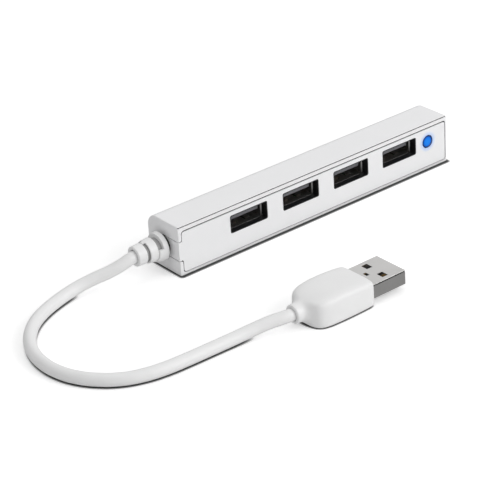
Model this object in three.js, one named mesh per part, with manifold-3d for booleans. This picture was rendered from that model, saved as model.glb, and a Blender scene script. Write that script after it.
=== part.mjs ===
// A slim four-port USB hub with a short captive lead.
//
// Units are millimetres. +X runs along the hub away from its lead, +Y points to its
// back, away from the ports, and +Z points up. The origin is the centre of the
// housing's underside. The hub is a sleeve-like housing closed by a front panel. Behind
// the panel a black frame lines the four ports. A circuit board carries the four
// receptacles, and their tongues lie in the upper half of each mouth.

import * as THREE from "three";
import { mergeVertices } from "three/addons/utils/BufferGeometryUtils.js";
import Module from "manifold-3d";

const wasm = await Module();
wasm.setup();

// ---------------------------------------------------------------- driving dimensions

const HUB = { length: 107, depth: 15, height: 16 };
const RIM = { left: 1.1, right: 0.5, top: 1.55, bottom: 0.8, back: 1.4 };
const REAR_TOP_RADIUS = 4.4;
const EDGE_RADIUS = 0.4;
const END_BEVEL = 0.3;
const MOUTH_RADIUS = 1.0;
const SEAM = 0.25;

const PANEL = { thickness: 1.2, inset: 0.05 };

const PORT = { count: 4, pitch: 20.17, firstX: -27.28, z: 9.79 };
const PORT_HOLE = { width: 14.2, height: 5.9, radius: 0.6 };
const PORT_LINER = { width: 13.5, height: 5.3, radius: 0.45, fit: 0.03 };
const FRAME_PLATE = { thickness: 0.9, low: 6.1, high: 13.0, pastLeft: 9.5, pastRight: 8.2 };

const RECEPTACLE = { width: 13.1, height: 5.7, length: 9.8, wall: 0.3, setBack: 2.3 };
const TONGUE = { width: 11.1, thickness: 1.84, low: 9.6, setBack: 2.9, rearBlock: 2.9 };
const CONTACT = { width: 1.0, thickness: 0.25, spacing: [-3.5, -1.0, 1.0, 3.5] };

const BOARD = { left: -50.4, right: 50.4, front: -4.8, back: 4.7, low: 5.75, high: 6.75 };
const TAIL_LENGTH = 0.5;

const LAMP = { x: 45.3, z: 9.55, holeRadius: 2.2, lensRadius: 2.1, dome: 0.3 };
const LED = { behindPanel: 1.7, legPitch: 2.54, legSize: 0.5, legStart: 4.1, legBend: 6.0 };

const RELIEF = { y: 0, z: 8.0, neck: 3.0, gap: 0.7, end: 10.9, bore: 2.05 };
const SLOT_HALF = 3.25;

const CABLE = { radius: 1.9, sides: 8, steps: 48 };

const PLUG = { y: -53.0, shellLow: 1.75, width: 12.0, height: 4.5, wall: 0.3 };
const PLUG_FRONT = -12.5;
const OVERMOLD = { front: -24.9, collarEnd: -49.6, collarZ: 4.4, pocket: 2.8 };

// Limits that several parts share.
const LEFT = -HUB.length / 2;
const RIGHT = HUB.length / 2;
const FRONT = -HUB.depth / 2;
const BACK = HUB.depth / 2;
const PANEL_FRONT = FRONT + PANEL.inset;
const PANEL_BACK = PANEL_FRONT + PANEL.thickness;
const MOUTH = {
  left: LEFT + RIM.left,
  right: RIGHT - RIM.right,
  low: RIM.bottom,
  high: HUB.height - RIM.top,
};
const portX = (index) => PORT.firstX + index * PORT.pitch;
const gapX = (index) => portX(index) + PORT.pitch / 2;
const TONGUE_TOP = TONGUE.low + TONGUE.thickness;
const SHELL_FRONT = FRONT + RECEPTACLE.setBack;
const SHELL_BACK = SHELL_FRONT + RECEPTACLE.length;
const SHELL_TOP = PORT.z + RECEPTACLE.height / 2;
const SHELL_LOW = PORT.z - RECEPTACLE.height / 2;
const TAIL_END = BOARD.low - TAIL_LENGTH;
const BOARD_FACE = BOARD.high + 0.05;
const LED_TIP = PANEL_BACK + LED.behindPanel;

// The lead's centre line: out of the strain relief, down to the table, round one wide
// loop and up into the plug's collar. Each point is [x, y, z].
const CABLE_ROUTE = [
  [-62.9, 0.0, 8.0],
  [-65.5, 0.1, 7.7],
  [-68.4, 0.7, 6.6],
  [-71.8, 1.9, 5.3],
  [-76.0, 3.6, 4.1],
  [-80.6, 4.7, 3.0],
  [-85.5, 4.6, 2.25],
  [-90.6, 3.3, 1.96],
  [-95.6, 1.2, 1.95],
  [-100.4, -1.7, 1.95],
  [-104.6, -5.6, 1.95],
  [-108.0, -10.4, 1.95],
  [-110.3, -15.9, 1.95],
  [-111.3, -21.9, 1.95],
  [-110.9, -28.0, 1.95],
  [-109.0, -33.9, 1.95],
  [-105.6, -39.1, 1.95],
  [-101.0, -43.3, 1.95],
  [-95.4, -46.0, 1.95],
  [-89.0, -47.4, 1.95],
  [-82.0, -47.9, 1.95],
  [-74.8, -48.1, 1.95],
  [-67.6, -48.4, 2.05],
  [-60.9, -49.3, 2.7],
  [-55.6, -50.9, 3.7],
  [-51.6, -52.4, 4.25],
  [-48.4, -53.0, 4.4],
];

// ---------------------------------------------------------------- finishes

const finish = (color, roughness, metalness = 0) => ({ color, roughness, metalness });
const WHITE_PLASTIC = finish(0xeeeeee, 0.38);
const WHITE_VINYL = finish(0xe9e9e9, 0.45);
const BLACK_PLASTIC = finish(0x141414, 0.4);
const GREY_PLASTIC = finish(0x46474a, 0.4);
const TIN_PLATED_STEEL = finish(0xb9b9b9, 0.3, 1);
const GOLD_PLATING = finish(0xd2a94e, 0.25, 1);
const BLUE_LENS = finish(0x1a80f0, 0.15);
const CLEAR_EPOXY = finish(0x9cc7f5, 0.1);
const SOLDER_MASK = finish(0x1d5a34, 0.45);
const CHIP_RESIN = finish(0x1c1c1e, 0.6);
const CAPACITOR_SLEEVE = finish(0x23242c, 0.35);
const CERAMIC = finish(0x9a7f62, 0.5);
const wireFinish = (color) => finish(color, 0.45);

// ---------------------------------------------------------------- geometry helpers

// A solid from a closed geometry, with shared corners merged.
function solid(geometry) {
  const bare = geometry.clone();
  bare.deleteAttribute("normal");
  bare.deleteAttribute("uv");
  const merged = mergeVertices(bare, 1e-4);
  const mesh = new wasm.Mesh({
    numProp: 3,
    vertProperties: new Float32Array(merged.attributes.position.array),
    triVerts: new Uint32Array(merged.index.array),
  });
  return new wasm.Manifold(mesh);
}

// The geometry of a solid, with flat-shaded faces.
function geometryOf(manifold) {
  const mesh = manifold.getMesh();
  const geometry = new THREE.BufferGeometry();
  geometry.setAttribute("position", new THREE.BufferAttribute(mesh.vertProperties, 3));
  geometry.setIndex(new THREE.BufferAttribute(mesh.triVerts, 1));
  geometry.computeVertexNormals();
  return geometry;
}

const joined = (solids) => solids.reduce((sum, next) => sum.add(next));
const cutFrom = (base, cutters) => cutters.reduce((rest, next) => rest.subtract(next), base);

// A block between two corners.
function block([x0, y0, z0], [x1, y1, z1]) {
  const geometry = new THREE.BoxGeometry(x1 - x0, y1 - y0, z1 - z0);
  geometry.translate((x0 + x1) / 2, (y0 + y1) / 2, (z0 + z1) / 2);
  return solid(geometry);
}

// Points along an arc, as [x, y], from one angle to another in degrees.
function arc([x, y], radius, from, to, steps) {
  return Array.from({ length: steps + 1 }, (_, step) => {
    const angle = THREE.MathUtils.degToRad(from + ((to - from) * step) / steps);
    return [x + radius * Math.cos(angle), y + radius * Math.sin(angle)];
  });
}

// A closed shape through [x, y] points.
const outlineOf = (points) => new THREE.Shape(points.map(([x, y]) => new THREE.Vector2(x, y)));

// A rectangle with rounded corners, as a shape.
function roundedRectangle(x0, y0, x1, y1, radius, steps = 3) {
  return outlineOf([
    ...arc([x1 - radius, y0 + radius], radius, -90, 0, steps),
    ...arc([x1 - radius, y1 - radius], radius, 0, 90, steps),
    ...arc([x0 + radius, y1 - radius], radius, 90, 180, steps),
    ...arc([x0 + radius, y0 + radius], radius, 180, 270, steps),
  ]);
}

// A front-view outline (x, z) given thickness from y0 to y1.
function extrudeAlongY(shape, y0, y1) {
  const geometry = new THREE.ExtrudeGeometry(shape, { depth: y1 - y0, bevelEnabled: false });
  geometry.rotateX(Math.PI / 2);
  geometry.translate(0, y1, 0);
  return solid(geometry);
}

// Shape axes (y, z) and depth along +X.
const SIDE_VIEW = new THREE.Matrix4().makeBasis(
  new THREE.Vector3(0, 1, 0),
  new THREE.Vector3(0, 0, 1),
  new THREE.Vector3(1, 0, 0),
);

// A side-view outline (y, z) given length from x0 to x1, its end edges eased by bevel.
function extrudeAlongX(shape, x0, x1, bevel = 0) {
  const options = {
    depth: x1 - x0 - 2 * bevel,
    bevelEnabled: bevel > 0,
    bevelThickness: bevel,
    bevelSize: bevel,
    bevelOffset: -bevel,
    bevelSegments: 2,
  };
  const geometry = new THREE.ExtrudeGeometry(shape, options);
  geometry.applyMatrix4(SIDE_VIEW);
  geometry.translate(x0 + bevel, 0, 0);
  return solid(geometry);
}

// A turned solid. Its profile is [distance along the axis, radius], and direction is
// the axis's unit vector.
function turned(profile, [x, y, z], direction, segments = 24) {
  const points = profile.map(([along, radius]) => new THREE.Vector2(radius, along));
  const geometry = new THREE.LatheGeometry(points, segments);
  const up = new THREE.Vector3(0, 1, 0);
  const turn = new THREE.Quaternion().setFromUnitVectors(up, new THREE.Vector3(...direction));
  geometry.applyQuaternion(turn);
  geometry.translate(x, y, z);
  return solid(geometry);
}

// The profile of a plain rod between two places on its axis.
const rod = (radius, start, end) => [[start, 0], [start, radius], [end, radius], [end, 0]];

const toVector = ([x, y, z]) => new THREE.Vector3(x, y, z);

// A round tube along a smooth curve through the points.
function tube(points, radius, sides, steps) {
  const outline = outlineOf(arc([0, 0], radius, 0, 360 - 360 / sides, sides - 1));
  const extrudePath = new THREE.CatmullRomCurve3(points.map(toVector), false, "centripetal");
  return solid(new THREE.ExtrudeGeometry(outline, { steps, extrudePath }));
}

// A closed skin through rings of equal point counts, each a list of [x, y, z].
function loft(rings) {
  const count = rings[0].length;
  const positions = rings.flat(2);
  const index = [];
  for (let ring = 0; ring < rings.length - 1; ring += 1) {
    for (let point = 0; point < count; point += 1) {
      const next = (point + 1) % count;
      const [a, b] = [ring * count + point, ring * count + next];
      index.push(a, a + count, b, b, a + count, b + count);
    }
  }
  const last = (rings.length - 1) * count;
  for (let point = 1; point < count - 1; point += 1) {
    index.push(0, point, point + 1);
    index.push(last, last + point + 1, last + point);
  }
  const geometry = new THREE.BufferGeometry();
  geometry.setAttribute("position", new THREE.Float32BufferAttribute(positions, 3));
  geometry.setIndex(index);
  return solid(geometry);
}

// ---------------------------------------------------------------- the assembly

const hub = new THREE.Group();

function add(name, manifold, look) {
  const mesh = new THREE.Mesh(geometryOf(manifold), new THREE.MeshStandardMaterial(look));
  mesh.name = name;
  hub.add(mesh);
}

// ---------------------------------------------------------------- housing

// The housing's end view: flat top, front, back and base, with a wide round along the
// upper back edge.
function housingProfile() {
  const [small, wide, top] = [EDGE_RADIUS, REAR_TOP_RADIUS, HUB.height];
  return outlineOf([
    ...arc([FRONT + small, small], small, 180, 270, 3),
    ...arc([BACK - small, small], small, -90, 0, 3),
    ...arc([BACK - wide, top - wide], wide, 0, 90, 14),
    ...arc([FRONT + small, top - small], small, 90, 180, 3),
  ]);
}

// The hollow's end view, open at the front and following the rounded back edge.
function hollowProfile() {
  const radius = REAR_TOP_RADIUS - RIM.back;
  const back = BACK - RIM.back;
  return outlineOf([
    [FRONT - 1, MOUTH.low],
    [back, MOUTH.low],
    ...arc([back - radius, MOUTH.high - radius], radius, 0, 90, 8),
    [FRONT - 1, MOUTH.high],
  ]);
}

// The slot in the left end wall that the strain relief's neck slides into from the
// front. It ends in a half circle behind the neck.
function neckSlot() {
  const outline = outlineOf([
    [FRONT - 1, RELIEF.z - SLOT_HALF],
    ...arc([RELIEF.y, RELIEF.z], SLOT_HALF, -90, 90, 12),
    [FRONT - 1, RELIEF.z + SLOT_HALF],
  ]);
  return extrudeAlongX(outline, LEFT - 1, MOUTH.left + 0.5);
}

// Small rests on the back wall, between the receptacles, that the board lies on.
function boardRests() {
  const rest = { halfWidth: 1.2, front: 3.5, height: 1.6, room: 0.15 };
  const top = BOARD.low - rest.room;
  const back = BACK - RIM.back + 0.2;
  return [-43, gapX(0), gapX(1), gapX(2), 50].map((x) =>
    block([x - rest.halfWidth, rest.front, top - rest.height], [x + rest.halfWidth, back, top]),
  );
}

function housing() {
  const outer = extrudeAlongX(housingProfile(), LEFT, RIGHT, END_BEVEL);
  const hollow = extrudeAlongX(hollowProfile(), MOUTH.left, MOUTH.right);
  return joined([cutFrom(outer, [hollow, neckSlot()]), ...boardRests()]);
}

add("housing", housing(), WHITE_PLASTIC);

// ---------------------------------------------------------------- front panel

// Hooks behind the panel's long edges that snap under the housing's roof and floor.
function snapHooks() {
  const hook = { halfWidth: 1.5, thickness: 0.8, length: 1.2 };
  const hooks = [];
  for (const x of [-46, gapX(0), gapX(1), gapX(2), 50]) {
    for (const low of [MOUTH.high - SEAM - hook.thickness, MOUTH.low + SEAM]) {
      const near = [x - hook.halfWidth, PANEL_BACK - 0.1, low];
      const far = [x + hook.halfWidth, PANEL_BACK + hook.length, low + hook.thickness];
      hooks.push(block(near, far));
    }
  }
  return hooks;
}

// The panel's wrap closes the neck's slot: outside at the left end, and back to the neck.
const WRAP = { clearOfEnd: 0.02, overlap: 0.8, back: -1.0, neckRoom: 0.15 };

function frontPanel() {
  const [x0, x1] = [MOUTH.left + SEAM, MOUTH.right - SEAM];
  const [z0, z1] = [MOUTH.low + SEAM, MOUTH.high - SEAM];
  const outline = roundedRectangle(x0, z0, x1, z1, MOUTH_RADIUS - SEAM);
  const plate = extrudeAlongY(outline, PANEL_FRONT, PANEL_BACK);
  const band = SLOT_HALF - SEAM / 2;
  const [bandLow, bandHigh] = [RELIEF.z - band, RELIEF.z + band];
  const wrapCorner = [LEFT + WRAP.clearOfEnd, PANEL_FRONT, bandLow];
  const wrap = block(wrapCorner, [x0 + WRAP.overlap, PANEL_BACK, bandHigh]);
  const cheek = block(wrapCorner, [MOUTH.left, WRAP.back, bandHigh]);
  const neckRadius = RELIEF.neck + WRAP.neckRoom;
  const neckCut = turned(rod(neckRadius, -1, 3), [LEFT - 1, RELIEF.y, RELIEF.z], [1, 0, 0]);
  const body = joined([plate, wrap, cheek, ...snapHooks()]);
  const cutters = [neckCut];
  for (let port = 0; port < PORT.count; port += 1) {
    cutters.push(portBlock(port, PORT_HOLE, FRONT - 1, PANEL_BACK + 1));
  }
  cutters.push(turned(rod(LAMP.holeRadius, -3, 3), [LAMP.x, PANEL_BACK, LAMP.z], [0, 1, 0]));
  return cutFrom(body, cutters);
}

// A rounded bar through one port, of the given width, height and corner radius.
function portBlock(port, { width, height, radius }, y0, y1) {
  const x = portX(port);
  const [w, h] = [width / 2, height / 2];
  const outline = roundedRectangle(x - w, PORT.z - h, x + w, PORT.z + h, radius);
  return extrudeAlongY(outline, y0, y1);
}

add("front_panel", frontPanel(), WHITE_PLASTIC);

// ---------------------------------------------------------------- port frame

// The black frame behind the panel. Its four collars fill the panel's port openings
// and come flush with its face.
function portFrame() {
  const plateFront = PANEL_BACK + 0.05;
  const plateBack = plateFront + FRAME_PLATE.thickness;
  const x0 = portX(0) - FRAME_PLATE.pastLeft;
  const x1 = portX(PORT.count - 1) + FRAME_PLATE.pastRight;
  const parts = [block([x0, plateFront, FRAME_PLATE.low], [x1, plateBack, FRAME_PLATE.high])];
  const cutters = [];
  const collar = {
    width: PORT_HOLE.width - 2 * PORT_LINER.fit,
    height: PORT_HOLE.height - 2 * PORT_LINER.fit,
    radius: PORT_HOLE.radius,
  };
  for (let port = 0; port < PORT.count; port += 1) {
    parts.push(portBlock(port, collar, PANEL_FRONT + 0.02, plateFront + 0.3));
    cutters.push(portBlock(port, PORT_LINER, FRONT - 1, plateBack + 1));
  }
  return cutFrom(joined(parts), cutters);
}

add("port_frame", portFrame(), BLACK_PLASTIC);

// ---------------------------------------------------------------- status lamp

// The blue lens: a shallow dome whose crown is level with the housing's front edges, a
// flange behind the panel and a short light guide towards the lamp.
function statusLens() {
  const rim = FRONT + LAMP.dome;
  const depth = PANEL_BACK - rim;
  const flange = { start: depth + 0.05, end: depth + 0.75, radius: LAMP.lensRadius + 0.7 };
  const guide = { end: depth + 1.4, radius: 1.4 };
  const dome = arc([0, 0], 1, 90, 0, 4).map(([out, up]) => [-LAMP.dome * up, LAMP.lensRadius * out]);
  const profile = [
    ...dome,
    [flange.start, LAMP.lensRadius],
    [flange.start, flange.radius],
    [flange.end, flange.radius],
    [flange.end, guide.radius],
    [guide.end, guide.radius],
    [guide.end, 0],
  ];
  return turned(profile, [LAMP.x, rim, LAMP.z], [0, 1, 0]);
}

// A 3 mm lamp facing the lens, with two legs bent down through the board.
function statusLed() {
  const profile = [
    [0, 0],
    [0.1, 0.6],
    [0.45, 1.15],
    [1.1, 1.45],
    [3.4, 1.5],
    [3.4, 1.9],
    [4.3, 1.9],
    [4.3, 0],
  ];
  const bulb = turned(profile, [LAMP.x, LED_TIP, LAMP.z], [0, 1, 0]);
  const half = LED.legSize / 2;
  const [start, end] = [LED_TIP + LED.legStart, LED_TIP + LED.legBend];
  const legs = [-1, 1].flatMap((side) => {
    const x = LAMP.x + (side * LED.legPitch) / 2;
    const along = block([x - half, start, LAMP.z - half], [x + half, end, LAMP.z + half]);
    const downward = block([x - half, end - LED.legSize, TAIL_END], [x + half, end, LAMP.z]);
    return [along, downward];
  });
  return joined([bulb, ...legs]);
}

add("status_lens", statusLens(), BLUE_LENS);
add("status_led", statusLed(), CLEAR_EPOXY);

// ---------------------------------------------------------------- receptacles

// Leaf springs in the shell's roof and floor press on the plug's shell.
const SPRING = { width: 1.7, offset: 2.6, front: 1.6, length: 4.6, dip: 0.35 };

function springLeaf(x, wallZ, inward) {
  const [y0, y1] = [SHELL_FRONT + SPRING.front, SHELL_FRONT + SPRING.front + SPRING.length];
  const t = RECEPTACLE.wall * inward;
  const dip = SPRING.dip * inward;
  const outline = outlineOf([
    [y1 + 0.1, wallZ],
    [y1 + 0.1, wallZ + t],
    [y0 + 1.2, wallZ + t + dip],
    [y0 + 0.2, wallZ + t],
    [y0 + 0.2, wallZ],
    [y0 + 1.2, wallZ + dip],
  ]);
  return extrudeAlongX(outline, x - SPRING.width / 2, x + SPRING.width / 2);
}

// The shell's two legs and the contacts' tails go down through the board.
const LEG = { front: 0.6, back: 2.2 };
const TAIL = { front: SHELL_BACK - 1.35, back: SHELL_BACK - 1.1 };
const TAIL_ROOM = { halfWidth: 4.9, length: 1.9 };

function receptacleShell(port) {
  const x = portX(port);
  const { width, height, wall } = RECEPTACLE;
  const outer = portBlock(port, { width, height, radius: 0.5 }, SHELL_FRONT, SHELL_BACK);
  const inside = { width: width - 2 * wall, height: height - 2 * wall, radius: 0.14 };
  const inner = portBlock(port, inside, SHELL_FRONT - 1, SHELL_BACK + 1);
  const cutters = [inner];
  const leaves = [];
  const window = SPRING.width / 2 + 0.35;
  const [y0, y1] = [SHELL_FRONT + SPRING.front, SHELL_FRONT + SPRING.front + SPRING.length];
  for (const side of [-SPRING.offset, SPRING.offset]) {
    const middle = x + side;
    for (const [wallZ, inward] of [[SHELL_TOP, -1], [SHELL_LOW, 1]]) {
      cutters.push(block([middle - window, y0, wallZ - 0.5], [middle + window, y1, wallZ + 0.5]));
      leaves.push(springLeaf(middle, wallZ, inward));
    }
  }
  cutters.push(
    block(
      [x - TAIL_ROOM.halfWidth, SHELL_BACK - TAIL_ROOM.length, SHELL_LOW - 1],
      [x + TAIL_ROOM.halfWidth, SHELL_BACK + 1, SHELL_LOW + 1],
    ),
  );
  const legs = [x - width / 2, x + width / 2 - wall].map((left) =>
    block([left, LEG.front, TAIL_END], [left + wall, LEG.back, PORT.z]),
  );
  return joined([cutFrom(outer, cutters), ...leaves, ...legs]);
}

// The insulator: a block across the shell's rear and the tongue that carries the
// contacts. Slots in the block let the contacts' tails go down to the board.
function receptacleTongue(port) {
  const x = portX(port);
  const room = 0.05;
  const halfWidth = RECEPTACLE.width / 2 - RECEPTACLE.wall - room;
  const halfHeight = RECEPTACLE.height / 2 - RECEPTACLE.wall - room;
  const rear = block(
    [x - halfWidth, SHELL_BACK - TONGUE.rearBlock, PORT.z - halfHeight],
    [x + halfWidth, SHELL_BACK - 0.1, PORT.z + halfHeight],
  );
  const front = FRONT + TONGUE.setBack;
  const root = SHELL_BACK - TONGUE.rearBlock + 0.5;
  const outline = outlineOf([
    [front, TONGUE_TOP - 0.5],
    [front, TONGUE.low + 0.12],
    [front + 0.12, TONGUE.low],
    [root, TONGUE.low],
    [root, TONGUE_TOP],
    [front + 0.6, TONGUE_TOP],
  ]);
  const tongue = extrudeAlongX(outline, x - TONGUE.width / 2, x + TONGUE.width / 2);
  const slots = CONTACT.spacing.map((offset) => {
    const half = CONTACT.width / 2 + 0.08;
    return block(
      [x + offset - half, front + 0.7, SHELL_LOW],
      [x + offset + half, TAIL.back + 0.08, TONGUE.low + CONTACT.thickness],
    );
  });
  return cutFrom(joined([rear, tongue]), slots);
}

// One contact: a strip in the tongue's lower face, bowed down a little near its free
// end, and a tail down through the board.
function receptacleContact(port, offset) {
  const x = portX(port) + offset;
  const high = TONGUE.low + CONTACT.thickness - 0.04;
  const low = high - CONTACT.thickness;
  const start = FRONT + TONGUE.setBack + 1.0;
  const outline = outlineOf([
    [start, high],
    [start, low],
    [start + 0.3, low],
    [start + 1.8, low - 0.3],
    [start + 3.4, low],
    [TAIL.front, low],
    [TAIL.front, TAIL_END],
    [TAIL.back, TAIL_END],
    [TAIL.back, high],
  ]);
  return extrudeAlongX(outline, x - CONTACT.width / 2, x + CONTACT.width / 2);
}

for (let port = 0; port < PORT.count; port += 1) {
  const name = `port_${port + 1}`;
  add(`${name}_shell`, receptacleShell(port), TIN_PLATED_STEEL);
  add(`${name}_tongue`, receptacleTongue(port), GREY_PLASTIC);
  CONTACT.spacing.forEach((offset, pin) => {
    add(`${name}_contact_${pin + 1}`, receptacleContact(port, offset), GOLD_PLATING);
  });
}

// ---------------------------------------------------------------- circuit board

function throughHole(x, y, halfX, halfY) {
  return block([x - halfX, y - halfY, BOARD.low - 1], [x + halfX, y + halfY, BOARD.high + 1]);
}

// Half sizes of the holes round the contacts' tails, the shells' legs and the lamp's legs.
const HOLE = { tail: [0.62, 0.25], shellLeg: [0.3, 0.95], lampLeg: [0.4, 0.4] };

function circuitBoard() {
  const corners = [[BOARD.left, BOARD.front, BOARD.low], [BOARD.right, BOARD.back, BOARD.high]];
  const holes = [];
  const tailY = (TAIL.front + TAIL.back) / 2;
  const legY = (LEG.front + LEG.back) / 2;
  const legX = RECEPTACLE.width / 2 - RECEPTACLE.wall / 2;
  for (let port = 0; port < PORT.count; port += 1) {
    const x = portX(port);
    for (const offset of CONTACT.spacing) holes.push(throughHole(x + offset, tailY, ...HOLE.tail));
    for (const side of [-legX, legX]) holes.push(throughHole(x + side, legY, ...HOLE.shellLeg));
  }
  const ledY = LED_TIP + LED.legBend - LED.legSize / 2;
  for (const side of [-LED.legPitch / 2, LED.legPitch / 2]) {
    holes.push(throughHole(LAMP.x + side, ledY, ...HOLE.lampLeg));
  }
  return cutFrom(block(...corners), holes);
}

add("circuit_board", circuitBoard(), SOLDER_MASK);

// The hub controller: a sixteen-pin flat package on the board's left end.
const CHIP = { x: -40.6, y: -0.2, halfLength: 4.95, halfWidth: 1.95, low: 0.15, high: 1.65 };
const PIN = { perSide: 8, pitch: 1.27, halfWidth: 0.2, low: 0.6, high: 0.85, reach: 3.0, foot: 0.25 };

function controllerChip() {
  const { x, y, halfLength, halfWidth } = CHIP;
  const body = block(
    [x - halfLength, y - halfWidth, BOARD_FACE + CHIP.low],
    [x + halfLength, y + halfWidth, BOARD_FACE + CHIP.high],
  );
  const pins = [];
  for (let pin = 0; pin < PIN.perSide; pin += 1) {
    const pinX = x + (pin - (PIN.perSide - 1) / 2) * PIN.pitch;
    const [x0, x1] = [pinX - PIN.halfWidth, pinX + PIN.halfWidth];
    const [front, back] = [y - PIN.reach, y + PIN.reach];
    const [low, high] = [BOARD_FACE + PIN.low, BOARD_FACE + PIN.high];
    pins.push(block([x0, front, low], [x1, back, high]));
    pins.push(block([x0, front, BOARD_FACE], [x1, front + PIN.foot, high]));
    pins.push(block([x0, back - PIN.foot, BOARD_FACE], [x1, back, high]));
  }
  return joined([body, ...pins]);
}

// A can that stands on the board, with an eased upper rim.
const CAN = { y: -0.3, radius: 2.5, height: 5.8, ease: 0.4 };

function capacitor(x) {
  const { radius, height, ease } = CAN;
  const rim = [[height - ease, radius], [height, radius - ease]];
  return turned([[0, 0], [0, radius], ...rim, [height, 0]], [x, CAN.y, BOARD_FACE], [0, 0, 1]);
}

function smallPart(x, y, [width, depth, height]) {
  const [w, d] = [width / 2, depth / 2];
  return block([x - w, y - d, BOARD_FACE], [x + w, y + d, BOARD_FACE + height]);
}

add("controller_chip", controllerChip(), CHIP_RESIN);
add("crystal", smallPart(gapX(0), -1.2, [3.2, 5.0, 1.2]), TIN_PLATED_STEEL);
add("capacitor_1", capacitor(gapX(1)), CAPACITOR_SLEEVE);
add("capacitor_2", capacitor(gapX(2)), CAPACITOR_SLEEVE);
add("load_capacitor", smallPart(gapX(0), 2.5, [2.0, 1.25, 0.9]), CERAMIC);
add("lamp_resistor", smallPart(41.6, -2.6, [2.0, 1.25, 0.6]), CHIP_RESIN);

// ---------------------------------------------------------------- strain relief

// The moulded relief. A neck fills the housing's slot, a flange inside holds it, and
// outside it steps down in three stages, with part-round slots that let it bend.
const RELIEF_STAGES = [
  { from: RELIEF.gap, to: 4.4, radius: 4.5, endRadius: 4.15 },
  { from: 4.4, to: 7.9, radius: 3.75, endRadius: 3.45 },
  { from: 7.9, to: RELIEF.end, radius: 3.22, endRadius: 3.12 },
];
const RELIEF_SLOTS = [
  { from: 3.2, to: 4.4, floor: 3.0, start: 13, end: 167 },
  { from: 7.0, to: 7.9, floor: 2.75, start: 100, end: 260 },
  { from: 7.0, to: 7.9, floor: 2.75, start: -80, end: 80 },
];
const FLANGE = { front: 1.25, back: 2.5, radius: 3.9 };
const BORE_DEPTH = 2.2;

function reliefSlot({ from, to, floor, start, end }) {
  const axis = [RELIEF.y, RELIEF.z];
  const past = RELIEF_STAGES[0].radius + 1;
  const outer = arc(axis, past, start, end, 8);
  const outline = outlineOf([...outer, ...arc(axis, floor, end, start, 8)]);
  return extrudeAlongX(outline, LEFT - to, LEFT - from);
}

function strainRelief() {
  const edge = 0.25;
  const profile = [[-FLANGE.back, 0], [-FLANGE.back, FLANGE.radius]];
  profile.push([-FLANGE.front, FLANGE.radius], [-FLANGE.front, RELIEF.neck]);
  profile.push([RELIEF.gap, RELIEF.neck]);
  for (const { from, to, radius, endRadius } of RELIEF_STAGES) {
    profile.push([from, radius - edge], [from + edge, radius], [to - edge, endRadius]);
    profile.push([to, endRadius - edge]);
  }
  profile.push([RELIEF.end, RELIEF.bore], [RELIEF.end - BORE_DEPTH, RELIEF.bore]);
  profile.push([RELIEF.end - BORE_DEPTH, 0]);
  const body = turned(profile, [LEFT, RELIEF.y, RELIEF.z], [-1, 0, 0], 32);
  return cutFrom(body, RELIEF_SLOTS.map(reliefSlot));
}

add("strain_relief", strainRelief(), WHITE_VINYL);

// ---------------------------------------------------------------- lead

add("cable", tube(CABLE_ROUTE, CABLE.radius, CABLE.sides, CABLE.steps), WHITE_VINYL);

// The lead's four cores, from the relief's flange down to the board's left end. Each
// leaves the flange at (y, z) from the relief's axis, goes its own reach along the hub
// and is soldered at its own y.
const WIRE = { radius: 0.5, sides: 8, steps: 14 };
const WIRES = [
  { colour: "red", look: wireFinish(0xb0241e), y: -0.75, z: 2.4, reach: 3.9, solderY: -2.6 },
  { colour: "white", look: wireFinish(0xe6e6e6), y: 0.75, z: 2.4, reach: 3.9, solderY: 1.2 },
  { colour: "green", look: wireFinish(0x2c8a3e), y: -0.75, z: 1.1, reach: 2.2, solderY: -1.2 },
  { colour: "black", look: wireFinish(0x161616), y: 0.75, z: 1.1, reach: 2.2, solderY: 2.6 },
];

for (const { colour, look, y, z, reach, solderY } of WIRES) {
  const start = LEFT + FLANGE.back + 0.1;
  const end = start + reach;
  const [wireY, wireZ] = [RELIEF.y + y, RELIEF.z + z];
  const fall = wireZ - BOARD_FACE;
  const points = [
    [start, wireY, wireZ],
    [start + reach * 0.45, wireY, wireZ],
    [end - 0.3, (wireY + solderY) / 2, wireZ - fall * 0.3],
    [end, solderY, BOARD_FACE + fall * 0.35],
    [end, solderY, BOARD_FACE],
  ];
  add(`wire_${colour}`, tube(points, WIRE.radius, WIRE.sides, WIRE.steps), look);
}

// ---------------------------------------------------------------- plug

// The overmould's cross-section at x: a rectangle of the given half width between low
// and high, with quarter-round corners.
function section({ x, half, low, high, radius }) {
  const [near, far] = [PLUG.y - half + radius, PLUG.y + half - radius];
  const ring = [
    ...arc([far, high - radius], radius, 0, 90, 5),
    ...arc([near, high - radius], radius, 90, 180, 5),
    ...arc([near, low + radius], radius, 180, 270, 5),
    ...arc([far, low + radius], radius, 270, 360, 5),
  ];
  return ring.map(([y, z]) => [x, y, z]);
}

const collar = (x, radius) => ({
  x,
  half: radius,
  low: OVERMOLD.collarZ - radius,
  high: OVERMOLD.collarZ + radius,
  radius: radius - 0.01,
});

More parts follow.
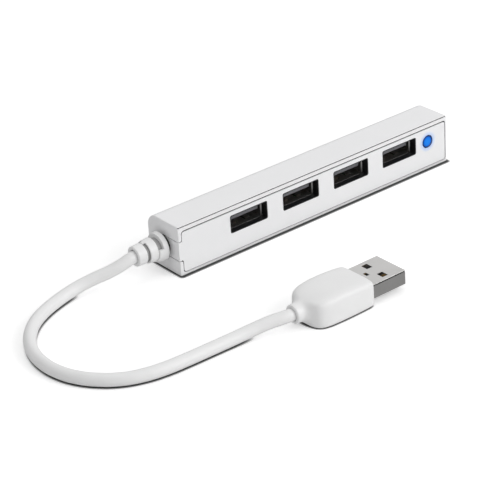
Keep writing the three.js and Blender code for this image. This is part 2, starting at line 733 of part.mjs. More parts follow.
const OVERMOLD_SECTIONS = [
  { x: OVERMOLD.front, half: 6.75, low: 0.6, high: 7.35, radius: 1.2 },
  { x: OVERMOLD.front - 0.2, half: 7.0, low: 0.3, high: 7.65, radius: 1.3 },
  { x: OVERMOLD.front - 0.7, half: 7.2, low: 0.1, high: 7.9, radius: 1.4 },
  { x: -28.5, half: 7.3, low: 0.02, high: 8.3, radius: 1.5 },
  { x: -32.5, half: 7.4, low: 0, high: 8.65, radius: 1.6 },
  { x: -36.5, half: 7.4, low: 0, high: 8.8, radius: 1.7 },
  { x: -40.0, half: 7.25, low: 0, high: 8.7, radius: 1.8 },
  { x: -42.4, half: 6.7, low: 0.05, high: 8.45, radius: 1.9 },
  { x: -44.0, half: 5.8, low: 0.25, high: 8.15, radius: 2.0 },
  { x: -44.9, half: 4.8, low: 0.6, high: 7.85, radius: 2.2 },
  { x: -45.5, half: 3.7, low: 1.1, high: 7.55, radius: 2.5 },
  collar(-46.0, 3.0),
  collar(-47.0, 2.9),
  collar(OVERMOLD.collarEnd + 0.25, 2.8),
  collar(OVERMOLD.collarEnd, 2.6),
];

const COLLAR_BORE_DEPTH = 2.0;

function plugOvermold() {
  const body = loft(OVERMOLD_SECTIONS.map(section));
  const room = 0.08;
  const pocket = block(
    [OVERMOLD.front - OVERMOLD.pocket, PLUG.y - PLUG.width / 2 - room, PLUG.shellLow - room],
    [OVERMOLD.front + 1, PLUG.y + PLUG.width / 2 + room, PLUG.shellLow + PLUG.height + room],
  );
  const place = [OVERMOLD.collarEnd, PLUG.y, OVERMOLD.collarZ];
  const bore = turned(rod(RELIEF.bore, -1, COLLAR_BORE_DEPTH), place, [1, 0, 0]);
  return cutFrom(body, [pocket, bore]);
}

const PLUG_BACK = OVERMOLD.front - OVERMOLD.pocket + 0.1;
const PLUG_MIDDLE = PLUG.shellLow + PLUG.height / 2;
const LOCK_HOLE = { x: -18.75, offset: 3.27, width: 2.5, depth: 2.0 };
const LOCATING_HOLE = { x: -21.9, width: 1.7, depth: 1.1 };

function sleeve(halfWidth, halfHeight, radius, x0, x1) {
  const [y, z] = [PLUG.y, PLUG_MIDDLE];
  const [y0, y1] = [y - halfWidth, y + halfWidth];
  const shape = roundedRectangle(y0, z - halfHeight, y1, z + halfHeight, radius);
  return extrudeAlongX(shape, x0, x1);
}

function plugShell() {
  const [w, h] = [PLUG.width / 2, PLUG.height / 2];
  const outer = sleeve(w, h, 0.45, PLUG_BACK, PLUG_FRONT);
  const inner = sleeve(w - PLUG.wall, h - PLUG.wall, 0.15, PLUG_BACK - 1, PLUG_FRONT + 1);
  const cutters = [inner];
  const above = PLUG.shellLow + PLUG.height + 1;
  for (const side of [-1, 1]) {
    const { x, offset, width, depth } = LOCK_HOLE;
    const y = PLUG.y + side * offset;
    cutters.push(block([x - depth / 2, y - width / 2, 0], [x + depth / 2, y + width / 2, above]));
  }
  const { x, width, depth } = LOCATING_HOLE;
  const [y0, y1] = [PLUG.y - width / 2, PLUG.y + width / 2];
  cutters.push(block([x - depth / 2, y0, PLUG_MIDDLE], [x + depth / 2, y1, above]));
  return cutFrom(outer, cutters);
}

const SHELF = { setBack: 0.5, thickness: 1.9, room: 0.06, rearLength: 3.5 };
const SHELF_LOW = PLUG.shellLow + PLUG.wall + SHELF.room;
const SHELF_TOP = SHELF_LOW + SHELF.thickness;

function plugInsulator() {
  const half = PLUG.width / 2 - PLUG.wall - SHELF.room;
  const [back, front] = [PLUG_BACK + 0.1, PLUG_FRONT - SHELF.setBack];
  const high = PLUG.shellLow + PLUG.height - PLUG.wall - SHELF.room;
  const corner = [back, PLUG.y - half, SHELF_LOW];
  const shelf = block(corner, [front, PLUG.y + half, SHELF_TOP]);
  const rear = block(corner, [back + SHELF.rearLength, PLUG.y + half, high]);
  const grooves = CONTACT.spacing.map((offset) => {
    const width = CONTACT.width / 2 + 0.06;
    const y = PLUG.y + offset;
    return block([back - 1, y - width, SHELF_TOP - 0.2], [PLUG_FRONT - 1.2, y + width, high + 1]);
  });
  return cutFrom(joined([shelf, rear]), grooves);
}

function plugContact(offset) {
  const y = PLUG.y + offset;
  const half = CONTACT.width / 2;
  const [x0, x1] = [PLUG_BACK + 0.1, PLUG_FRONT - 1.3];
  const low = SHELF_TOP - 0.17;
  return block([x0, y - half, low], [x1, y + half, low + CONTACT.thickness]);
}

add("plug_overmold", plugOvermold(), WHITE_VINYL);
add("plug_shell", plugShell(), TIN_PLATED_STEEL);
add("plug_insulator", plugInsulator(), BLACK_PLASTIC);
CONTACT.spacing.forEach((offset, pin) => {
  add(`plug_contact_${pin + 1}`, plugContact(offset), GOLD_PLATING);
});

export default hub;
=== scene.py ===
# %% [markdown]
# # A slim four-port hub on its short lead
#
# The hub is a white moulded bar with four ports, a blue lamp and a captive lead that
# ends in a plug. The sizes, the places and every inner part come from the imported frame.
# This lesson makes the skins that the eye meets, and then the finish of every piece.

# %% Load the frame
import math

import bmesh
import bpy
from mathutils import Matrix, Vector
from mathutils.geometry import interpolate_bezier


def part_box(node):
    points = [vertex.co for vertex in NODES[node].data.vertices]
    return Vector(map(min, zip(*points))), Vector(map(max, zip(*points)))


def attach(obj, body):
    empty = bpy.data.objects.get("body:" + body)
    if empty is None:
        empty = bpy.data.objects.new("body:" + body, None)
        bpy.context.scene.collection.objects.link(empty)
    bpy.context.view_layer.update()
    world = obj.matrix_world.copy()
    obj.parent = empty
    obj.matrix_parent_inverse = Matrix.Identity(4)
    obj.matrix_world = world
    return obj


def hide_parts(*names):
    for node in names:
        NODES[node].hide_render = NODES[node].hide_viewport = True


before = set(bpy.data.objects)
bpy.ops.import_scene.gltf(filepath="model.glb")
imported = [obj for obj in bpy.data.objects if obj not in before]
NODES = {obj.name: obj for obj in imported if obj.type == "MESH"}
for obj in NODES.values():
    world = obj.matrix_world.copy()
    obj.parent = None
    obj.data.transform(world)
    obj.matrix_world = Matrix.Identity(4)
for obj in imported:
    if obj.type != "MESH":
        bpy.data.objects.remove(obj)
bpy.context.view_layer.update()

MM = 0.001

print("nodes in the frame:", len(NODES))

# %% [markdown]
# ## The camera
#
# The hub is seen from its left front, a little from above, through a long lens that
# hardly narrows the far end. The camera is placed by the direction it looks from, its
# distance and a slight lean, so each of these can be read and changed on its own.

# %% Camera
TARGET = Vector((-0.0380, -0.0209, 0.0080))
LOOK_FROM = {"azimuth": math.radians(-37.2), "elevation": math.radians(28.3)}
LEAN = math.radians(-3.91)
DISTANCE = 0.5711
LENS = 142.4


def place_camera():
    """Stands the camera at its distance from the target and leans it about its line of sight."""
    around, above = LOOK_FROM["azimuth"], LOOK_FROM["elevation"]
    flat = math.cos(above)
    back = Vector((math.sin(around) * flat, -math.cos(around) * flat, math.sin(above)))
    right = Vector((0, 0, 1)).cross(back).normalized()
    up = back.cross(right)
    turn = Matrix.Rotation(LEAN, 3, back)
    axes = Matrix((turn @ right, turn @ up, back)).transposed()
    bpy.ops.object.camera_add()
    camera = bpy.context.object
    camera.matrix_world = Matrix.Translation(TARGET + back * DISTANCE) @ axes.to_4x4()
    camera.data.lens = LENS
    camera.data.clip_start, camera.data.clip_end = 0.01, 20
    bpy.context.scene.camera = camera


place_camera()
print("camera at", [round(c, 3) for c in bpy.context.scene.camera.matrix_world.translation])

# %% [markdown]
# ## Handling pieces
#
# Every piece starts as a primitive at its size and place. These helpers do what the hand
# does between operators: make one piece active, pick faces or edges by where they lie,
# and round, cut or join them.

# %% Picking and placing


def only(piece):
    """Back to object mode, with this piece alone selected and active."""
    if bpy.context.mode != "OBJECT":
        bpy.ops.object.mode_set(mode="OBJECT")
    bpy.ops.object.select_all(action="DESELECT")
    if piece:
        piece.select_set(True)
        bpy.context.view_layer.objects.active = piece


def point(x, y, z):
    """A point given in millimetres."""
    return Vector((x, y, z)) * MM


def name_piece(name):
    """Names the new primitive and puts its place and size in its mesh."""
    piece = bpy.context.object
    piece.name = piece.data.name = name
    bpy.ops.object.transform_apply(location=True, rotation=True, scale=True)
    return piece


def add_block(name, low, high):
    """A block between its lowest and highest corner."""
    only(None)
    bpy.ops.mesh.primitive_cube_add(size=1, location=(low + high) / 2)
    bpy.context.object.scale = high - low
    return name_piece(name)


TOWARDS = {"x": (0, math.pi / 2, 0), "y": (math.pi / 2, 0, 0), "z": (0, 0, 0)}


def add_rod(name, middle, radius, length, axis, sides=64):
    """A round rod about its middle, along x, y or z."""
    only(None)
    bpy.ops.mesh.primitive_cylinder_add(
        vertices=sides, radius=radius, depth=length, location=middle, rotation=TOWARDS[axis]
    )
    return name_piece(name)


def choose(piece, kind, test):
    """Opens edit mode and selects each FACE or EDGE that passes the test. The test gets
    its middle and its normal, or for an edge its direction and the angle across it."""
    only(piece)
    bpy.ops.object.mode_set(mode="EDIT")
    bpy.ops.mesh.select_mode(type=kind)
    bpy.ops.mesh.select_all(action="DESELECT")
    shape = bmesh.from_edit_mesh(piece.data)
    if kind == "EDGE":
        for edge in shape.edges:
            ends = [vertex.co for vertex in edge.verts]
            way = (ends[1] - ends[0]).normalized()
            if test((ends[0] + ends[1]) / 2, way, edge.calc_face_angle(0)):
                edge.select_set(True)
    else:
        for face in shape.faces:
            if test(face.calc_center_median(), face.normal):
                face.select_set(True)
    bmesh.update_edit_mesh(piece.data)


def near(value, target, within=0.02 * MM):
    return abs(value - target) < within


def along(way, axis):
    """True for an edge that runs along axis 0, 1 or 2."""
    return abs(way[axis]) > 0.999


def round_edges(piece, radius, segments, test):
    """Rounds the edges that pass the test."""
    choose(piece, "EDGE", test)
    bpy.ops.mesh.bevel(offset=radius, segments=segments, profile=0.5, affect="EDGES")
    only(piece)


def combine(piece, other, operation):
    """Cuts another solid out of the piece, or joins it on, and removes that other solid."""
    only(piece)
    change = piece.modifiers.new("combine", "BOOLEAN")
    change.operation = operation
    change.solver = "EXACT"
    change.object = other
    bpy.ops.object.modifier_apply(modifier=change.name)
    bpy.data.objects.remove(other)


def soften(piece, width, segments=2, angle=40):
    """Gives every hard edge a small round."""
    only(piece)
    ease = piece.modifiers.new("soften", "BEVEL")
    ease.width = width
    ease.segments = segments
    ease.limit_method = "ANGLE"
    ease.angle_limit = math.radians(angle)
    ease.use_clamp_overlap = False
    ease.harden_normals = False
    bpy.ops.object.modifier_apply(modifier=ease.name)


def clean(piece, within=0.002 * MM):
    """Merges doubled points and turns every face outwards."""
    only(piece)
    bpy.ops.object.mode_set(mode="EDIT")
    bpy.ops.mesh.select_all(action="SELECT")
    bpy.ops.mesh.remove_doubles(threshold=within)
    bpy.ops.mesh.normals_make_consistent(inside=False)
    only(piece)


def finish_piece(piece, slot, *replaced, angle=30):
    """Shades the piece, rides it on the hub and hides the nodes it stands for. The large
    faces set the shading at a rounded edge, so that flats look flat."""
    only(piece)
    bpy.ops.object.shade_smooth_by_angle(angle=math.radians(angle))
    flats = piece.modifiers.new("flats", "WEIGHTED_NORMAL")
    flats.keep_sharp = True
    bpy.ops.object.modifier_apply(modifier=flats.name)
    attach(piece, "root")
    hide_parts(*replaced)
    print(f"{piece.name}: {len(piece.data.polygons)} faces")
    return piece


# %% [markdown]
# ## The lead
#
# The lead is soft PVC cable, 3.8 mm thick. It leaves the strain relief level, falls to
# the table within four centimetres, runs one wide loop on the table and climbs into the
# plug's collar. Its whole length is in sight, so nothing is coiled away. A curve with a
# round bevel is the plainest way to make a cord, because the curve is its centre line.

# %% The lead
CABLE_DIAMETER = 3.8 * MM
CABLE_ROUTE = [
    (-62.9, 0.0, 8.0),
    (-65.5, 0.1, 7.7),
    (-68.4, 0.7, 6.6),
    (-71.8, 1.9, 5.3),
    (-76.0, 3.6, 4.1),
    (-80.6, 4.7, 3.0),
    (-85.5, 4.6, 2.25),
    (-90.6, 3.3, 1.96),
    (-95.6, 1.2, 1.95),
    (-100.4, -1.7, 1.95),
    (-104.6, -5.6, 1.95),
    (-108.0, -10.4, 1.95),
    (-110.3, -15.9, 1.95),
    (-111.3, -21.9, 1.95),
    (-110.9, -28.0, 1.95),
    (-109.0, -33.9, 1.95),
    (-105.6, -39.1, 1.95),
    (-101.0, -43.3, 1.95),
    (-95.4, -46.0, 1.95),
    (-89.0, -47.4, 1.95),
    (-82.0, -47.9, 1.95),
    (-74.8, -48.1, 1.95),
    (-67.6, -48.4, 2.05),
    (-60.9, -49.3, 2.7),
    (-55.6, -50.9, 3.7),
    (-51.6, -52.4, 4.25),
    (-48.4, -53.0, 4.4),
]


def cable():
    """One open spline through the route, with a round section, made into a mesh."""
    line = bpy.data.curves.new("cable_skin", "CURVE")
    line.dimensions = "3D"
    line.resolution_u = 8
    line.bevel_depth = CABLE_DIAMETER / 2
    line.bevel_resolution = 8
    line.use_fill_caps = True
    spline = line.splines.new("BEZIER")
    spline.bezier_points.add(len(CABLE_ROUTE) - 1)
    for knot, place in zip(spline.bezier_points, CABLE_ROUTE):
        knot.co = point(*place)
        knot.handle_left_type = knot.handle_right_type = "AUTO"
    piece = bpy.data.objects.new("cable_skin", line)
    bpy.context.scene.collection.objects.link(piece)
    knots = list(spline.bezier_points)
    bpy.context.view_layer.update()
    path = []
    for knot, following in zip(knots, knots[1:]):
        bend = (knot.co, knot.handle_right, following.handle_left, following.co)
        path += interpolate_bezier(*bend, 9)[:-1]
    path.append(knots[-1].co.copy())
    only(piece)
    bpy.ops.object.convert(target="MESH")
    return bpy.context.object, path


CABLE, CABLE_PATH = cable()
CABLE.name = CABLE.data.name = "cable_skin"

# %% [markdown]
# ## The strain relief
#
# Where the lead leaves the hub, a moulded relief steps down in three stages, so the lead
# bends over several millimetres and not at one edge. It is turned, apart from the slots
# that let it flex. Its profile is drawn once and spun round the lead's axis. The slots
# are then cut with part rings, which are spun in the same way.

# %% Turned shapes
SPIN_STEPS = 96


def spin_profile(name, profile, centre, axis, closed=False, start=0, sweep=360):
    """Spins (along, radius) points, in millimetres, about an axis from the centre. A
    closed profile is a ring's section. A part turn covers start to start + sweep. Spin
    turns clockwise, so the section is placed at the far end of that."""
    only(None)
    axis = Vector(axis)
    side = Vector((0, 1, 0)) if abs(axis.x) > 0.5 else Vector((1, 0, 0))
    side = Matrix.Rotation(math.radians(start + sweep), 3, axis) @ side
    places = [centre + (axis * a + side * r) * MM for a, r in profile]
    count = len(places)
    edges = [(i, i + 1) for i in range(count - 1)]
    shape = bpy.data.meshes.new(name)
    shape.from_pydata(places, [] if closed else edges, [tuple(range(count))] if closed else [])
    piece = bpy.data.objects.new(name, shape)
    bpy.context.scene.collection.objects.link(piece)
    only(piece)
    bpy.ops.object.mode_set(mode="EDIT")
    bpy.ops.mesh.select_all(action="SELECT")
    bpy.ops.mesh.spin(
        steps=round(SPIN_STEPS * sweep / 360),
        angle=math.radians(sweep),
        center=centre,
        axis=axis,
    )
    clean(piece)
    return piece


# %% Strain relief
HUB_LOW, HUB_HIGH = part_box("housing")
RELIEF_LOW, RELIEF_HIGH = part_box("strain_relief")
RELIEF_CENTRE = Vector((HUB_LOW.x, 0, (RELIEF_LOW.z + RELIEF_HIGH.z) / 2))
RELIEF_STAGES = [(1.15, 4.5, 4.4, 4.15), (4.4, 3.75, 7.9, 3.45), (7.9, 3.22, 10.9, 3.12)]
RELIEF_BORE = {"radius": 2.0, "depth": 2.2}
RELIEF_SLOTS = [(2.8, 4.4, 3.0, 13, 154), (7.0, 7.9, 2.75, 100, 160), (7.0, 7.9, 2.75, 280, 160)]
NECK_RADIUS = 3.0
FLANGE = {"front": 1.25, "back": 2.5, "radius": 3.9}


def rounded_step(start, radius, end, end_radius, ease=0.32, steps=5):
    """One stage of the relief, its two outer corners rounded."""
    turns = [math.radians(90 * step / steps) for step in range(steps + 1)]
    first = [(start + ease * (1 - math.cos(t)), radius - ease * (1 - math.sin(t))) for t in turns]
    last = [(end - ease * (1 - math.sin(t)), end_radius - ease * (1 - math.cos(t))) for t in turns]
    return first + last


def strain_relief():
    """Flange, neck and three stages, down to the bore that the lead comes out of."""
    profile = [(-FLANGE["back"], 0), (-FLANGE["back"], FLANGE["radius"])]
    profile += [(-FLANGE["front"], FLANGE["radius"]), (-FLANGE["front"], NECK_RADIUS)]
    profile.append((RELIEF_STAGES[0][0], NECK_RADIUS))
    for start, radius, end, end_radius in RELIEF_STAGES:
        profile += rounded_step(start, radius, end, end_radius)
    tip = RELIEF_STAGES[-1][2]
    bore, depth = RELIEF_BORE["radius"], RELIEF_BORE["depth"]
    profile += [(tip, bore + 0.2), (tip - 0.2, bore), (tip - depth, bore), (tip - depth, 0)]
    piece = spin_profile("strain_relief_skin", profile, RELIEF_CENTRE, (-1, 0, 0))
    for near_end, far_end, floor, start, sweep in RELIEF_SLOTS:
        ring = [(-far_end, floor), (-near_end, floor), (-near_end, 6), (-far_end, 6)]
        cutter = spin_profile("slot", ring, RELIEF_CENTRE, (1, 0, 0), True, start, sweep)
        combine(piece, cutter, "DIFFERENCE")
    clean(piece)
    return piece


RELIEF = finish_piece(strain_relief(), "white_vinyl", "strain_relief")

# %% [markdown]
# ## The plug's overmould
#
# The overmould is a soft pillow of PVC round the plug's solder joints. It is flat where
# the shell comes out, a little crowned on top, and draws in behind to a short collar. A
# stack of cross-sections says that best. Each section is a circle primitive reshaped to
# a superellipse, which is square-shouldered at a high power and round at a power of 2.
# The rings are bridged into a skin, and subdivision smooths it.

# %% Overmould sections
OVERMOLD_LOW, OVERMOLD_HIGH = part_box("plug_overmold")
SHELL_LOW, SHELL_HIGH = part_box("plug_shell")
PLUG_Y = (SHELL_LOW.y + SHELL_HIGH.y) / 2
COLLAR_Z = 4.4 * MM
RING_POINTS = 40
# Distance behind the overmould's face, half width, lowest, highest, and the power of the
# outline's upper and lower half.
OVERMOLD_SECTIONS = [
    (0.0, 6.35, 0.55, 7.35, 7, 12),
    (0.15, 6.68, 0.25, 7.68, 7, 12),
    (0.7, 7.05, 0.08, 7.95, 7, 12),
    (1.8, 7.24, 0.04, 8.1, 7, 12),
    (3.6, 7.33, 0.02, 8.35, 6.5, 12),
    (7.6, 7.4, 0.01, 8.68, 6.2, 12),
    (11.6, 7.4, 0.01, 8.78, 6, 12),
    (14.6, 7.3, 0.01, 8.7, 5.6, 12),
    (16.8, 7.08, 0.01, 8.52, 5.2, 12),
    (18.4, 6.68, 0.02, 8.3, 4.8, 12),
    (19.4, 6.12, 0.04, 8.08, 4.4, 11),
    (20.1, 5.35, 0.1, 7.9, 3.8, 9),
    (20.6, 4.5, 0.3, 7.74, 3.2, 6),
    (21.1, 3.75, 0.75, 7.58, 2.6, 3.6),
    (21.65, 3.22, 1.2, 7.44, 2.2, 2.4),
    (22.35, 2.97, 1.44, 7.35, 2, 2),
    (23.2, 2.9, 1.5, 7.3, 2, 2),
    (24.3, 2.84, 1.56, 7.24, 2, 2),
    (24.6, 2.68, 1.72, 7.08, 2, 2),
]


def superellipse(angle, half_width, half_height, power):
    """A point of the outline at this angle, as (across, up)."""
    c, s = math.cos(angle), math.sin(angle)
    across = math.copysign(abs(c) ** (2 / power), c) * half_width
    up = math.copysign(abs(s) ** (2 / power), s) * half_height
    return across, up


def add_section(piece, behind, half, low, high, upper, lower):
    """Adds a circle to the open mesh and reshapes it into one section."""
    bpy.ops.mesh.select_all(action="DESELECT")
    bpy.ops.mesh.primitive_circle_add(vertices=RING_POINTS, radius=1, location=(0, 0, 0))
    shape = bmesh.from_edit_mesh(piece.data)
    x = OVERMOLD_HIGH.x - behind * MM
    for vertex in [v for v in shape.verts if v.select]:
        angle = math.atan2(vertex.co.y, vertex.co.x) + math.pi / RING_POINTS
        power = upper if math.sin(angle) > 0 else lower
        across, up = superellipse(angle, half, (high - low) / 2, power)
        middle = (high + low) / 2
        vertex.co = (x, PLUG_Y + across * MM, (middle + up) * MM)
    bmesh.update_edit_mesh(piece.data)


def plug_overmold():
    """Bridges the sections, closes the ends and opens the pocket and the collar's bore."""
    only(None)
    shape = bpy.data.meshes.new("plug_overmold_skin")
    piece = bpy.data.objects.new("plug_overmold_skin", shape)
    bpy.context.scene.collection.objects.link(piece)
    only(piece)
    bpy.ops.object.mode_set(mode="EDIT")
    for section in OVERMOLD_SECTIONS:
        add_section(piece, *section)
    bpy.ops.mesh.select_mode(type="EDGE")
    bpy.ops.mesh.select_all(action="SELECT")
    bpy.ops.mesh.bridge_edge_loops()
    bpy.ops.mesh.select_all(action="DESELECT")
    bpy.ops.mesh.select_non_manifold()
    bpy.ops.mesh.fill_holes(sides=0)
    clean(piece)
    for end in (OVERMOLD_LOW.x, OVERMOLD_HIGH.x):
        choose(piece, "FACE", lambda place, normal: near(place.x, end) and abs(normal.x) > 0.99)
        bpy.ops.mesh.inset(thickness=0.3 * MM)
    only(piece)
    smooth = piece.modifiers.new("smooth", "SUBSURF")
    smooth.levels = smooth.render_levels = 2
    bpy.ops.object.modifier_apply(modifier=smooth.name)
    room = Vector((0, 0.08, 0.08)) * MM
    pocket_low, pocket_high = SHELL_LOW - room, SHELL_HIGH + room
    combine(piece, add_block("pocket", pocket_low, pocket_high), "DIFFERENCE")
    collar_end = Vector((OVERMOLD_LOW.x, PLUG_Y, COLLAR_Z))
    bore = add_rod("bore", collar_end, CABLE_DIAMETER / 2 + 0.1 * MM, 4 * MM, "x")
    combine(piece, bore, "DIFFERENCE")
    return piece


OVERMOLD = finish_piece(plug_overmold(), "white_vinyl", "plug_overmold", angle=35)

# %% [markdown]
# ## The plug's shell
#
# The shell is steel strip folded into a box, 12 by 4.5 mm, with two square holes that
# the socket's springs drop into. A block with its long edges rounded is hollowed from
# the front, and the holes are cut through both walls.

# %% Plug shell
STEEL = 0.3 * MM
PLUG_HOLES = [(-18.75, -3.27, 2.0, 2.5), (-18.75, 3.27, 2.0, 2.5)]
LOCATING_HOLE = (-21.9, 0, 1.1, 1.7)
SHELL_FOLD_RADIUS = 0.12 * MM
SHELL_INNER_RADIUS = 0.12 * MM
SHELL_EDGE = 0.03 * MM
# The fold line runs along the near side, this far below the top.
FOLD = {"low": 0.48, "high": 0.14, "depth": 0.24}


def plug_shell():
    """A folded box with holes."""
    piece = add_block("plug_shell_skin", SHELL_LOW, SHELL_HIGH)
    round_edges(piece, SHELL_FOLD_RADIUS, 4, lambda place, way, angle: along(way, 0))
    wall = Vector((0, STEEL, STEEL))
    past = Vector((1 * MM, 0, 0))
    hollow = add_block("hollow", SHELL_LOW + wall - past, SHELL_HIGH - wall + past)
    round_edges(hollow, SHELL_INNER_RADIUS, 3, lambda place, way, angle: along(way, 0))
    combine(piece, hollow, "DIFFERENCE")
    for x, off, depth, width in PLUG_HOLES:
        centre = Vector((x * MM, PLUG_Y + off * MM, SHELL_LOW.z))
        half = Vector((depth / 2, width / 2, 8)) * MM
        combine(piece, add_block("hole", centre - half, centre + half), "DIFFERENCE")
    x, off, depth, width = LOCATING_HOLE
    centre = Vector((x * MM, PLUG_Y + off * MM, SHELL_HIGH.z))
    half = Vector((depth / 2, width / 2, 2)) * MM
    combine(piece, add_block("hole", centre - half, centre + half), "DIFFERENCE")
    fold_low = Vector((SHELL_LOW.x - MM, SHELL_LOW.y - MM, SHELL_HIGH.z - FOLD["low"] * MM))
    fold_high = Vector(
        (SHELL_HIGH.x + MM, SHELL_LOW.y + FOLD["depth"] * MM, SHELL_HIGH.z - FOLD["high"] * MM)
    )
    combine(piece, add_block("fold_line", fold_low, fold_high), "DIFFERENCE")
    soften(piece, SHELL_EDGE)
    return piece


PLUG_SHELL = finish_piece(plug_shell(), "connector_steel", "plug_shell")

finish_piece(CABLE, "white_vinyl", "cable")

# %% [markdown]
# ## The housing
#
# The housing is one thin-walled moulding, like a sleeve with its front left open. Its
# upper back edge has a wide round, and every other edge is nearly sharp. A block is
# rounded in two passes, then hollowed by a second rounded block. A fine line is cut along
# the front's upper edge.

# %% Housing sizes
RIM = {"left": 1.1, "right": 0.5, "top": 1.55, "bottom": 0.8, "back": 1.4}
REAR_TOP_RADIUS = 4.4 * MM
EDGE_RADIUS = 0.35 * MM
MOUTH_LOW = Vector((HUB_LOW.x + RIM["left"] * MM, HUB_LOW.y, HUB_LOW.z + RIM["bottom"] * MM))
MOUTH_HIGH = Vector((HUB_HIGH.x - RIM["right"] * MM, HUB_HIGH.y - RIM["back"] * MM,
                     HUB_HIGH.z - RIM["top"] * MM))
MOUTH_RADIUS = 1.0 * MM
SLOT_HALF = 3.25 * MM
SLOT_LOW_Z, SLOT_HIGH_Z = RELIEF_CENTRE.z - SLOT_HALF, RELIEF_CENTRE.z + SLOT_HALF
HOOK_RADIUS = 0.5 * MM
EDGE_LINE = {"below_top": 0.14, "width": 0.3, "depth": 0.4}


def neck_slot():
    """The space that the relief's neck slides in by: open in front, round behind."""
    low = Vector((HUB_LOW.x - MM, HUB_LOW.y - MM, SLOT_LOW_Z))
    high = Vector((MOUTH_LOW.x + 0.5 * MM, SLOT_HALF, SLOT_HIGH_Z))
    slot = add_block("neck_slot", low, high)
    round_edges(
        slot,
        SLOT_HALF * 0.999,
        12,
        lambda place, way, angle: along(way, 0) and near(place.y, high.y),
    )
    return slot


def housing():
    piece = add_block("housing_skin", HUB_LOW, HUB_HIGH)
    round_edges(
        piece,
        REAR_TOP_RADIUS,
        16,
        lambda place, way, angle: along(way, 0)
        and near(place.y, HUB_HIGH.y)
        and near(place.z, HUB_HIGH.z),
    )
    round_edges(piece, EDGE_RADIUS, 4, lambda place, way, angle: angle > math.radians(50))
    hollow = add_block("hollow", MOUTH_LOW - Vector((0, MM, 0)), MOUTH_HIGH)
    round_edges(hollow, MOUTH_RADIUS, 6, lambda place, way, angle: along(way, 1))
    combine(piece, hollow, "DIFFERENCE")
    combine(piece, neck_slot(), "DIFFERENCE")
    round_edges(
        piece,
        HOOK_RADIUS,
        5,
        lambda place, way, angle: along(way, 1)
        and near(place.x, MOUTH_LOW.x)
        and (near(place.z, SLOT_LOW_Z) or near(place.z, SLOT_HIGH_Z)),
    )
    line_top = HUB_HIGH.z - EDGE_LINE["below_top"] * MM
    line_low = Vector((HUB_LOW.x - MM, HUB_LOW.y - MM, line_top - EDGE_LINE["width"] * MM))
    line_high = Vector((HUB_HIGH.x + MM, HUB_LOW.y + EDGE_LINE["depth"] * MM, line_top))
    combine(piece, add_block("edge_line", line_low, line_high), "DIFFERENCE")
    return piece


HOUSING = finish_piece(housing(), "white_abs", "housing")

# %% [markdown]
# ## The front panel
#
# The panel snaps into the mouth with a gap of about a third of a millimetre, widest along
# the top, and that gap is the thin grey line that frames it. At the left it wraps round
# the corner and runs back to the strain relief, where it closes the neck's slot. It is a
# rounded plate, with the wrap joined on and the ports and the lamp's hole cut through.

# %% Front panel
SEAM = {"side": 0.3 * MM, "top": 0.46 * MM, "bottom": 0.28 * MM, "wrap": 0.28 * MM}
PANEL_LOW, PANEL_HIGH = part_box("front_panel")
PANEL_BACK = PANEL_LOW.y + 1.2 * MM
PANEL_BACK_CUT = 0.75 * MM
WRAP_CORNER_RADIUS = 0.33 * MM
CHEEK_END_Y = -1.0 * MM
PORTS = 4
PORT_Z = 9.79 * MM
PORT_HOLE = Vector((14.2, 4, 5.9)) * MM
PORT_HOLE_RADIUS = 0.6 * MM
LENS_LOW, LENS_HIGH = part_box("status_lens")
LENS_CENTRE = (LENS_LOW + LENS_HIGH) / 2
LENS_RADIUS = 2.1 * MM
LAMP_HOLE_RADIUS = 2.2 * MM


def port_centre(port):
    """The middle of one receptacle, seen from the front."""
    low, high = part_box(f"port_{port}_tongue")
    return Vector(((low.x + high.x) / 2, PANEL_LOW.y, PORT_Z))


def port_cutter():
    """The rounded bar that opens one port. It is modelled once and copied."""
    centre = port_centre(1)
    piece = add_block("port_cutter", centre - PORT_HOLE / 2, centre + PORT_HOLE / 2)
    round_edges(piece, PORT_HOLE_RADIUS, 5, lambda place, way, angle: along(way, 1))
    return piece


def moved_copy(piece, name, shift):
    """A copy with its own mesh, moved by shift in that mesh."""
    copy = piece.copy()
    copy.data = piece.data.copy()
    copy.name = copy.data.name = name
    bpy.context.scene.collection.objects.link(copy)
    copy.data.transform(Matrix.Translation(shift))
    return copy


